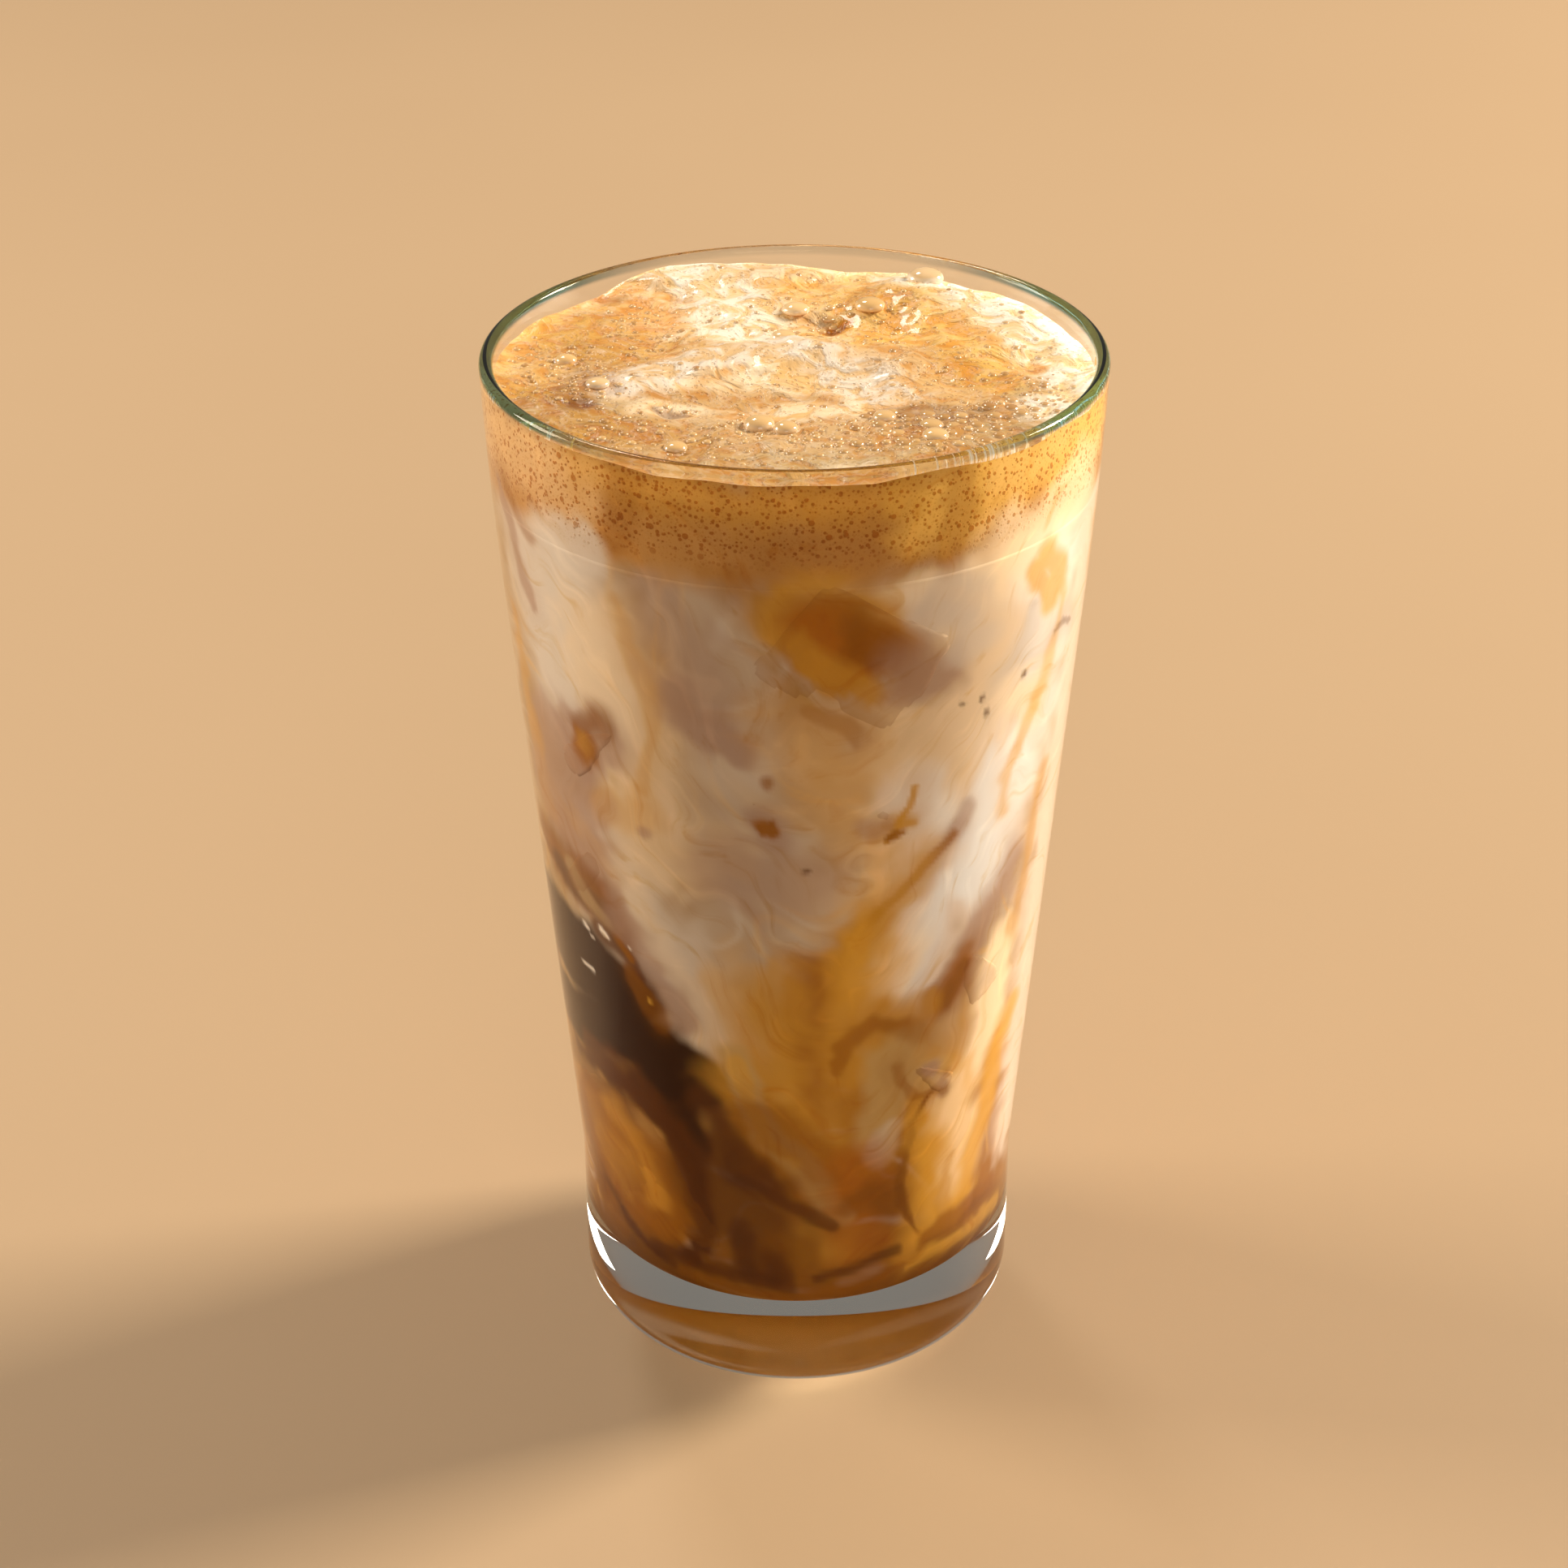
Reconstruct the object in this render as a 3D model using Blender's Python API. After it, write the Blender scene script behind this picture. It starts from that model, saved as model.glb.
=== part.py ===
"""Iced shaken espresso in a clear tumbler with a thick base.

Three solids: the glass, the milky drink that fills it, and the head of foam on top.
Metres, +Z up. The origin is the centre of the foot, on the table, and the glass's axis is Z.
-Y is the side towards the viewer and +X is on the viewer's right.
"""

import math

import bmesh
import bpy
from mathutils import Vector, noise
from mathutils.geometry import interpolate_bezier

MM = 0.001

# The glass, outside
GLASS_HEIGHT = 150.0 * MM
RIM_RADIUS = 41.5 * MM
SHOULDER_HEIGHT = 118.0 * MM
SHOULDER_RADIUS = 39.7 * MM
RIM_LEAN = 0.4
FOOT_HEIGHT = 26.0 * MM
FOOT_RADIUS = 32.1 * MM
HEEL_HEIGHT = 6.0 * MM
CONTACT_RADIUS = 27.0 * MM
RECESS_RADIUS = 22.0 * MM
RECESS_DEPTH = 1.2 * MM

# The glass, inside
RIM_THICKNESS = 1.85 * MM
SHOULDER_THICKNESS = 2.0 * MM
FLOOR_HEIGHT = 12.2 * MM
FLOOR_RADIUS = 29.0 * MM
CORNER_RADIUS = 12.0 * MM

# The drink and its foam
GAP = 0.3 * MM
FOAM_BOTTOM = 133.6 * MM
FOAM_LEVEL = 146.8 * MM
FOAM_RINGS = 30
SECTORS = 6
FOAM_SIDE_STEPS = 3

# Smoothness of the turned shapes
GLASS_SEGMENTS = 64
DRINK_SEGMENTS = 64
WALL_STEPS = 6
DRINK_SIDE_STEPS = 12
CORNER_STEPS = 7
HEEL_STEPS = 7
RECESS_STEPS = 4
LIP_STEPS = 8
MERGE_DISTANCE = 0.01 * MM
SHARP_ANGLE = math.radians(50)

# Swells in the foam: where each starts and ends, how wide it is and how high, in millimetres
FOAM_SWELLS = {
    "ridge, left half": ((-30, -12), (-7, 4), 6.0, 1.5),
    "ridge, right half": ((1, 6), (9, 4), 5.0, 1.5),
    "heap at the back left": ((-20, 33), (-9, 35), 8.0, 1.5),
    "heap at the back right": ((16, 27), (27, 20), 7.5, 1.0),
    "front left shore": ((-31, -20), (-20, -29), 6.0, 0.7),
    "front right shore": ((12, -31), (29, -20), 6.0, 0.8),
    "hollow before the ridge": ((-12, -12), (8, -9), 6.5, -1.0),
    "hollow behind the ridge": ((0, 17), (12, 15), 6.0, -0.9),
    "hollow at the left": ((-30, 6), (-22, 14), 7.0, -0.5),
    "hollow at the right": ((24, -6), (30, 4), 6.0, -0.7),
}
FOAM_RIPPLES = ((11.0, 0.75), (4.6, 0.35))

# Large bubbles in the foam: place and radius, in millimetres
FOAM_BUBBLES = (
    (-4.5, -18.2, 2.0),
    (-1.1, -20.3, 1.6),
    (0.2, 22.8, 1.9),
    (-1.5, 11.8, 1.7),
    (10.5, 22.6, 2.1),
    (11.5, -15.6, 1.5),
    (17.3, -19.6, 1.6),
    (17.6, -25.0, 1.7),
    (18.5, 32.0, 2.6),
    (-30.5, 4.5, 1.5),
    (-25.5, -8.5, 1.6),
    (-14.9, -25.4, 1.5),
)
BUBBLE_RISE = 0.4
FOAM_PITS = (
    (-27.2, -14.0, 1.9, 0.8),
    (-16.5, -14.1, 1.7, 0.6),
    (-14.9, 27.1, 2.4, 0.7),
    (-27.1, 27.8, 3.0, 0.6),
    (4.6, 19.5, 2.3, 0.8),
    (31.3, 2.0, 2.0, 0.6),
    (-34.7, -4.1, 1.6, 0.6),
)


def clear_scene():
    for item in list(bpy.data.objects):
        bpy.data.objects.remove(item)


def arc(center, radii, start, end, steps):
    """Points (radius, height) on an elliptical arc; angles in degrees from +X towards +Z."""
    points = []
    for i in range(steps + 1):
        angle = math.radians(start + (end - start) * i / steps)
        points.append((center[0] + radii[0] * math.cos(angle), center[1] + radii[1] * math.sin(angle)))
    return points


def straight(start, end, steps):
    """Points strictly between two ends."""
    return [
        (start[0] + (end[0] - start[0]) * i / steps, start[1] + (end[1] - start[1]) * i / steps)
        for i in range(1, steps)
    ]


def easing_curve(foot, shoulder, rim, steps):
    """Points after the shoulder, where the wall leaves its straight taper and stands up to the rim."""
    slope = (shoulder[0] - foot[0]) / (shoulder[1] - foot[1])
    rise = (rim[1] - shoulder[1]) / 3
    leave = Vector((shoulder[0] + slope * rise, shoulder[1] + rise, 0))
    meet = Vector((rim[0] - RIM_LEAN * slope * rise, rim[1] - rise, 0))
    curve = interpolate_bezier(Vector((*shoulder, 0)), leave, meet, Vector((*rim, 0)), steps + 1)
    return [(point.x, point.y) for point in curve[1:]]


def outer_wall():
    """The outer profile from the rim's widest ring down to the top of the foot."""
    rim = (RIM_RADIUS, GLASS_HEIGHT - RIM_THICKNESS / 2)
    shoulder = (SHOULDER_RADIUS, SHOULDER_HEIGHT)
    foot = (FOOT_RADIUS, FOOT_HEIGHT)
    upward = [foot, *straight(foot, shoulder, WALL_STEPS), shoulder]
    upward += easing_curve(foot, shoulder, rim, WALL_STEPS)
    return upward[::-1]


def inner_lean():
    """How far the inner wall's straight taper leans out for each metre that it rises."""
    shoulder = SHOULDER_RADIUS - SHOULDER_THICKNESS
    return (shoulder - FLOOR_RADIUS) / (SHOULDER_HEIGHT - FLOOR_HEIGHT)


def inner_corner(clearance):
    """The arc between floor and wall, kept clear of the glass by a clearance."""
    lean = inner_lean()
    center = (
        FLOOR_RADIUS + CORNER_RADIUS * (lean - math.hypot(1, lean)),
        FLOOR_HEIGHT + CORNER_RADIUS,
    )
    radius = CORNER_RADIUS - clearance
    return arc(center, (radius, radius), -90, -math.degrees(math.atan(lean)), CORNER_STEPS)


def inner_wall():
    """The inner profile from the top of the floor's corner up to the rim."""
    shoulder = (SHOULDER_RADIUS - SHOULDER_THICKNESS, SHOULDER_HEIGHT)
    rim = (RIM_RADIUS - RIM_THICKNESS, GLASS_HEIGHT - RIM_THICKNESS / 2)
    corner = inner_corner(0.0)[-1]
    upward = [corner, *straight(corner, shoulder, WALL_STEPS), shoulder]
    upward += easing_curve(corner, shoulder, rim, WALL_STEPS)
    return upward


def inner_radius(height):
    """The radius of the glass's inside at a height above the floor's corner."""
    wall = inner_wall()
    for low, high in zip(wall, wall[1:]):
        if height <= high[1]:
            share = (height - low[1]) / (high[1] - low[1])
            return low[0] + (high[0] - low[0]) * share
    return wall[-1][0]


def glass_profile():
    """From the middle of the floor, up the inside, over the rim, down the outside and under the foot."""
    lip_center = (RIM_RADIUS - RIM_THICKNESS / 2, GLASS_HEIGHT - RIM_THICKNESS / 2)
    lip = arc(lip_center, (RIM_THICKNESS / 2, RIM_THICKNESS / 2), 180, 0, LIP_STEPS)
    heel_size = (FOOT_RADIUS - CONTACT_RADIUS, HEEL_HEIGHT)
    heel = arc((CONTACT_RADIUS, HEEL_HEIGHT), heel_size, 0, -90, HEEL_STEPS)
    recess = []
    for i in range(RECESS_STEPS):
        share = 1 - i / RECESS_STEPS
        recess.append((RECESS_RADIUS * share, RECESS_DEPTH * (1 - share * share)))
    return [
        (0, FLOOR_HEIGHT),
        *inner_corner(0.0),
        *inner_wall()[1:-1],
        *lip,
        *outer_wall()[1:],
        *heel,
        *recess,
        (0, RECESS_DEPTH),
    ]


def drink_profile():
    """From the middle of the drink's top, out to the wall, down it and round to the middle of the floor."""
    top = FOAM_BOTTOM - GAP
    corner = inner_corner(GAP)
    bottom = corner[-1][1]
    side = []
    for i in range(DRINK_SIDE_STEPS):
        height = top + (bottom - top) * i / DRINK_SIDE_STEPS
        side.append((inner_radius(height) - GAP, height))
    return [(0, top), *side, *corner[::-1], (0, corner[0][1])]


def make_material(name, color, roughness, transmission=0.0):
    material = bpy.data.materials.new(name)
    material.use_nodes = True
    shader = material.node_tree.nodes["Principled BSDF"]
    shader.inputs["Base Color"].default_value = (*color, 1.0)
    shader.inputs["Roughness"].default_value = roughness
    shader.inputs["Metallic"].default_value = 0.0
    shader.inputs["Transmission Weight"].default_value = transmission
    return material


def add_object(name, mesh, material):
    item = bpy.data.objects.new(name, mesh)
    item.data.materials.append(material)
    bpy.context.scene.collection.objects.link(item)
    return item


def turned(name, profile, segments, material):
    """A closed body turned about Z from a profile that starts and ends on the axis."""
    mesh = bpy.data.meshes.new(name)
    points = [(radius, 0, height) for radius, height in profile]
    mesh.from_pydata(points, [(i, i + 1) for i in range(len(points) - 1)], [])
    item = add_object(name, mesh, material)
    screw = item.modifiers.new("turn", "SCREW")
    screw.axis = "Z"
    screw.angle = math.tau
    screw.steps = segments
    screw.render_steps = segments
    screw.use_merge_vertices = True
    screw.merge_threshold = MERGE_DISTANCE
    screw.use_smooth_shade = True
    return item


def distance_to_segment(point, start, end):
    along = Vector(end) - Vector(start)
    share = (point - Vector(start)).dot(along) / along.length_squared
    nearest = Vector(start) + along * max(0.0, min(1.0, share))
    return (point - nearest).length


def foam_height(x, y):
    """Height of the foam's top: its level, with swells, ripples, pits and domed bubbles."""
    point = Vector((x, y)) / MM
    rise = 0.0
    for start, end, width, height in FOAM_SWELLS.values():
        rise += height * math.exp(-((distance_to_segment(point, start, end) / width) ** 2))
    for length, height in FOAM_RIPPLES:
        rise += height * noise.noise(Vector((point.x / length, point.y / length, length)))
    for pit_x, pit_y, radius, depth in FOAM_PITS:
        away = (point - Vector((pit_x, pit_y))).length / radius
        rise -= depth * math.exp(-(away**2))
    for bubble_x, bubble_y, radius in FOAM_BUBBLES:
        away = (point - Vector((bubble_x, bubble_y))).length / radius
        if away < 1:
            rise += BUBBLE_RISE * radius * math.sqrt(1 - away * away)
    return FOAM_LEVEL + rise * MM


def foam_top_rings(form):
    """Rings of points, one more in each sector than on the ring inside it, out to the wall."""
    reach = inner_radius(FOAM_LEVEL) - GAP
    rings = [[form.verts.new((0, 0, foam_height(0, 0)))]]
    for ring in range(1, FOAM_RINGS + 1):
        count = SECTORS * ring
        points = []
        for i in range(count):
            angle = math.tau * i / count
            radius = reach * ring / FOAM_RINGS
            height = foam_height(radius * math.cos(angle), radius * math.sin(angle))
            if ring == FOAM_RINGS:
                radius = inner_radius(height) - GAP
            points.append(form.verts.new((radius * math.cos(angle), radius * math.sin(angle), height)))
        rings.append(points)
    return rings


def fill_between_rings(form, rings):
    """Triangles between each ring and the next one out, sector by sector."""
    for inner, outer in zip(rings, rings[1:]):
        steps_out = len(outer) // SECTORS
        steps_in = steps_out - 1
        for sector in range(SECTORS):
            for i in range(steps_out):
                low = outer[sector * steps_out + i]
                high = outer[(sector * steps_out + i + 1) % len(outer)]
                near = inner[(sector * steps_in + i) % len(inner)]
                form.faces.new((low, high, near))
                if i < steps_in:
                    after = inner[(sector * steps_in + i + 1) % len(inner)]
                    form.faces.new((near, high, after))


def fill_foam_side(form, edge):
    """The foam's side, from the edge of its top down the glass, and its flat underside."""
    above = edge
    for step in range(1, FOAM_SIDE_STEPS + 1):
        below = []
        for vertex in edge:
            height = vertex.co.z + (FOAM_BOTTOM - vertex.co.z) * step / FOAM_SIDE_STEPS
            flat = Vector((vertex.co.x, vertex.co.y, 0)).normalized() * (inner_radius(height) - GAP)
            below.append(form.verts.new((flat.x, flat.y, height)))
        for i, vertex in enumerate(above):
            after = (i + 1) % len(above)
            form.faces.new((vertex, below[i], below[after], above[after]))
        above = below
    form.faces.new(above[::-1])


def make_foam(material):
    form = bmesh.new()
    rings = foam_top_rings(form)
    fill_between_rings(form, rings)
    fill_foam_side(form, rings[-1])
    bmesh.ops.recalc_face_normals(form, faces=form.faces)
    mesh = bpy.data.meshes.new("foam")
    form.to_mesh(mesh)
    form.free()
    mesh.shade_smooth()
    mesh.set_sharp_from_angle(angle=SHARP_ANGLE)
    return add_object("foam", mesh, material)


def main():
    clear_scene()
    clear_glass = make_material("clear_glass", (0.92, 0.97, 0.93), 0.03, transmission=1.0)
    milky_coffee = make_material("milky_coffee", (0.48, 0.27, 0.11), 0.30)
    coffee_foam = make_material("coffee_foam", (0.78, 0.52, 0.24), 0.45)
    turned("glass", glass_profile(), GLASS_SEGMENTS, clear_glass)
    turned("drink", drink_profile(), DRINK_SEGMENTS, milky_coffee)
    make_foam(coffee_foam)


main()
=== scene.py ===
"""Dresses the iced shaken espresso: a clear tumbler, the swirled drink, its ice and its bubbly foam.

Metres, +Z up, -Y towards the viewer. Places on the drink's side are given as degrees from the front,
growing to the viewer's right, and millimetres above the table.
"""

import math

import bpy
import numpy as np
from mathutils import Euler, Matrix, Vector, noise
from mathutils.geometry import interpolate_bezier


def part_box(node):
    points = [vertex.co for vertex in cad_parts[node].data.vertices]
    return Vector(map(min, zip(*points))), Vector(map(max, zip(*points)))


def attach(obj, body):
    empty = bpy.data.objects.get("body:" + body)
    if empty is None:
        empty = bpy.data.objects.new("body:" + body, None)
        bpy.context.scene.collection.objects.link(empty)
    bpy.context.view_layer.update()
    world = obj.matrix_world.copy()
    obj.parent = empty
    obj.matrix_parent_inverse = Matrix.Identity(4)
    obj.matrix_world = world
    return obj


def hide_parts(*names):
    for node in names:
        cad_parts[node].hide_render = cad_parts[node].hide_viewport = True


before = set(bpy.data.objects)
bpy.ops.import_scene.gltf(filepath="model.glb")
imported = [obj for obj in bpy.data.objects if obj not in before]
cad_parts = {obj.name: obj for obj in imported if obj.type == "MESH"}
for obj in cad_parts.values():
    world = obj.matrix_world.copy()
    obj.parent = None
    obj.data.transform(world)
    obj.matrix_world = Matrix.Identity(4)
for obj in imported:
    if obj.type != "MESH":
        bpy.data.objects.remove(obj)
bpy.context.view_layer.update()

MM = 0.001

# The glass, as in the solid that its finer copy replaces
GLASS_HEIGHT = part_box("glass")[1].z
RIM_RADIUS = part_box("glass")[1].x
SHOULDER_HEIGHT = 118.0 * MM
SHOULDER_RADIUS = 39.7 * MM
RIM_LEAN = 0.4
FOOT_HEIGHT = 26.0 * MM
FOOT_RADIUS = 32.1 * MM
HEEL_HEIGHT = 6.0 * MM
CONTACT_RADIUS = 27.0 * MM
RECESS_RADIUS = 22.0 * MM
RECESS_DEPTH = 1.2 * MM
RIM_THICKNESS = 1.85 * MM
SHOULDER_THICKNESS = 2.0 * MM
FLOOR_HEIGHT = 12.2 * MM
FLOOR_RADIUS = 29.0 * MM
CORNER_RADIUS = 12.0 * MM
WALL_STEPS = 40
FINE_STEPS = 24
# Dark green for the lip's sides: partly the glass's own green, partly painted shade for a dark room seen
# through it
LIP_TINT_AND_SHADE = (0.030, 0.15, 0.23)
GLASS_GLOSS = (0.42, 0.33, 0.24)
GLASS_SEGMENTS = 256

# The drink and the foam, which reach just into the wall so that no air shows between them and the glass
INTO_WALL = 0.08 * MM
FOAM_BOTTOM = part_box("foam")[0].z
FOAM_LEVEL = 146.8 * MM
LAP = 0.3 * MM
DRINK_SEGMENTS = 400
FRONT_CROWDING = 0.3
DRINK_ROWS = 205
DRINK_CORNER_ROWS = 18
FOAM_RINGS = 124
FOAM_SIDE_ROWS = 24
SECTORS = 6
SHARP_ANGLE = math.radians(50)

# How a stroke of colour is laid: lengths in mm, measured on the side at its mean radius, and shares
MEAN_RADIUS = 35.5
BROAD_STROKE = 2.4
THIN_STROKE = 1.3
WIDTH_WOBBLE = 0.3
SOFTNESS_WOBBLE = 0.45
WISP_REACH = 0.6
FULL_COVER = 0.75
EDGE_REACH = 1.15
HALO = 0.35
HALO_REACH = 4.5

# Noise that bends the colours on the drink's side: layers of height in mm, size in mm and seed
WARP = ((1.1, 8, 1), (0.55, 3.4, 2), (0.25, 1.5, 35))
LIFT = ((1.1, 8, 3), (0.55, 3.4, 4), (0.25, 1.5, 36))
DRIFT = ((13, 24, 5), (6, 9, 6), (2.2, 3.5, 37))
SLIDE = ((4, 14, 38), (1.2, 4, 39))
CURLS = 6.0
CURL_SIZE = 13.0
CURL_SEEDS = (31, 32, 33)

# Bands of colour in mm: the froth's lower edge, the drink's underside, and the foam's golden front shore
FROTH_LEVELS = (134.5, 140.0)
UNDERSIDE_RADII = (26.0, 23.0)
UNDERSIDE_HEIGHTS = (16.0, 13.0)
SHORE_FRONT = (14.0, 28.0)
SHORE_FROM_WALL = (6.2, 3.8)

# Swells in the foam: where each starts and ends, how wide it is and how high, in millimetres
FOAM_SWELLS = {
    "ridge, left half": ((-30, -12), (-7, 4), 6, 1.5),
    "ridge, right half": ((1, 6), (9, 4), 5, 1.5),
    "heap at the back left": ((-20, 33), (-9, 35), 8, 1.5),
    "heap at the back right": ((16, 27), (27, 20), 7.5, 1),
    "front left shore": ((-31, -20), (-20, -29), 6, 0.7),
    "front right shore": ((12, -31), (29, -20), 6, 0.8),
    "hollow before the ridge": ((-12, -12), (8, -9), 6.5, -1),
    "hollow behind the ridge": ((0, 17), (12, 15), 6, -0.9),
    "hollow at the left": ((-30, 6), (-22, 14), 7, -0.5),
    "hollow at the right": ((24, -6), (30, 4), 6, -0.7),
}

# Ripples in the foam, as length and height in mm. The solid has the two long ones, and the short ones
# calm down near the wall.
FOAM_RIPPLES = ((11, 0.75), (4.6, 0.35), (3.6, 0.4), (2.4, 0.2))
SHORT_RIPPLE = 4.0
CALM_WIDTH = 3.0

# Large bubbles in the foam: place and radius, in millimetres
FOAM_BUBBLES = (
    (-4.5, -18.2, 2),
    (-1.1, -20.3, 1.6),
    (0.2, 22.8, 1.9),
    (-1.5, 11.8, 1.7),
    (10.5, 22.6, 2.1),
    (11.5, -15.6, 1.5),
    (17.3, -19.6, 1.6),
    (17.6, -25, 1.7),
    (18.5, 32, 2.6),
    (-30.5, 4.5, 1.5),
    (-25.5, -8.5, 1.6),
    (-14.9, -25.4, 1.5),
)

# How far the foam swells up under a large bubble, in parts of its radius
BUBBLE_RISE = 0.2

# Small dips in the foam: place, radius and depth, in millimetres
FOAM_PITS = (
    (-27.2, -14, 1.9, 0.8),
    (-16.5, -14.1, 1.7, 0.6),
    (-14.9, 27.1, 2.4, 0.7),
    (-27.1, 27.8, 3, 0.6),
    (4.6, 19.5, 2.3, 0.8),
    (31.3, 2, 2, 0.6),
    (-34.7, -4.1, 1.6, 0.6),
)

# How the foam climbs the wall: its height and width there, and where that starts and is full, counted
# towards the front, in mm
CLING_HEIGHT = 1.0
CLING_WIDTH = 1.2
CLING_FRONT = (-20.0, 10.0)

# The colours of the brew, linear
BREW = {
    "tan": (0.37, 0.215, 0.088),
    "milk": (0.62, 0.51, 0.4),
    "edge": (0.72, 0.575, 0.45),
    "straw": (0.5, 0.31, 0.11),
    "wheat": (0.76, 0.55, 0.33),
    "cream": (0.93, 0.72, 0.46),
    "white": (0.95, 0.84, 0.68),
    # pale painted highlight: glints on the drink's ice and a sheen on the foam
    "silk": (0.84, 0.7, 0.55),
    "biscuit": (0.7, 0.42, 0.18),
    "honey": (0.67, 0.33, 0.035),
    "orange": (0.8, 0.36, 0.035),
    "apricot": (0.86, 0.49, 0.1),
    "gold": (0.52, 0.24, 0.024),
    "amber": (0.27, 0.085, 0.003),
    "caramel": (0.2, 0.06, 0.002),
    "toffee": (0.27, 0.105, 0.01),
    "copper": (0.38, 0.1, 0.004),
    "rust": (0.085, 0.02, 0.002),
    "espresso": (0.026, 0.0055, 0.001),
    # greyish-pink painted shade: shadows in the milk and along the edges of ice
    "mauve": (0.35, 0.2, 0.13),
    "pearl": (0.8, 0.78, 0.74),
    # the foam's side: darker than its top, partly its own colour and partly painted shade
    "froth": (0.47, 0.225, 0.06),
}
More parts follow.
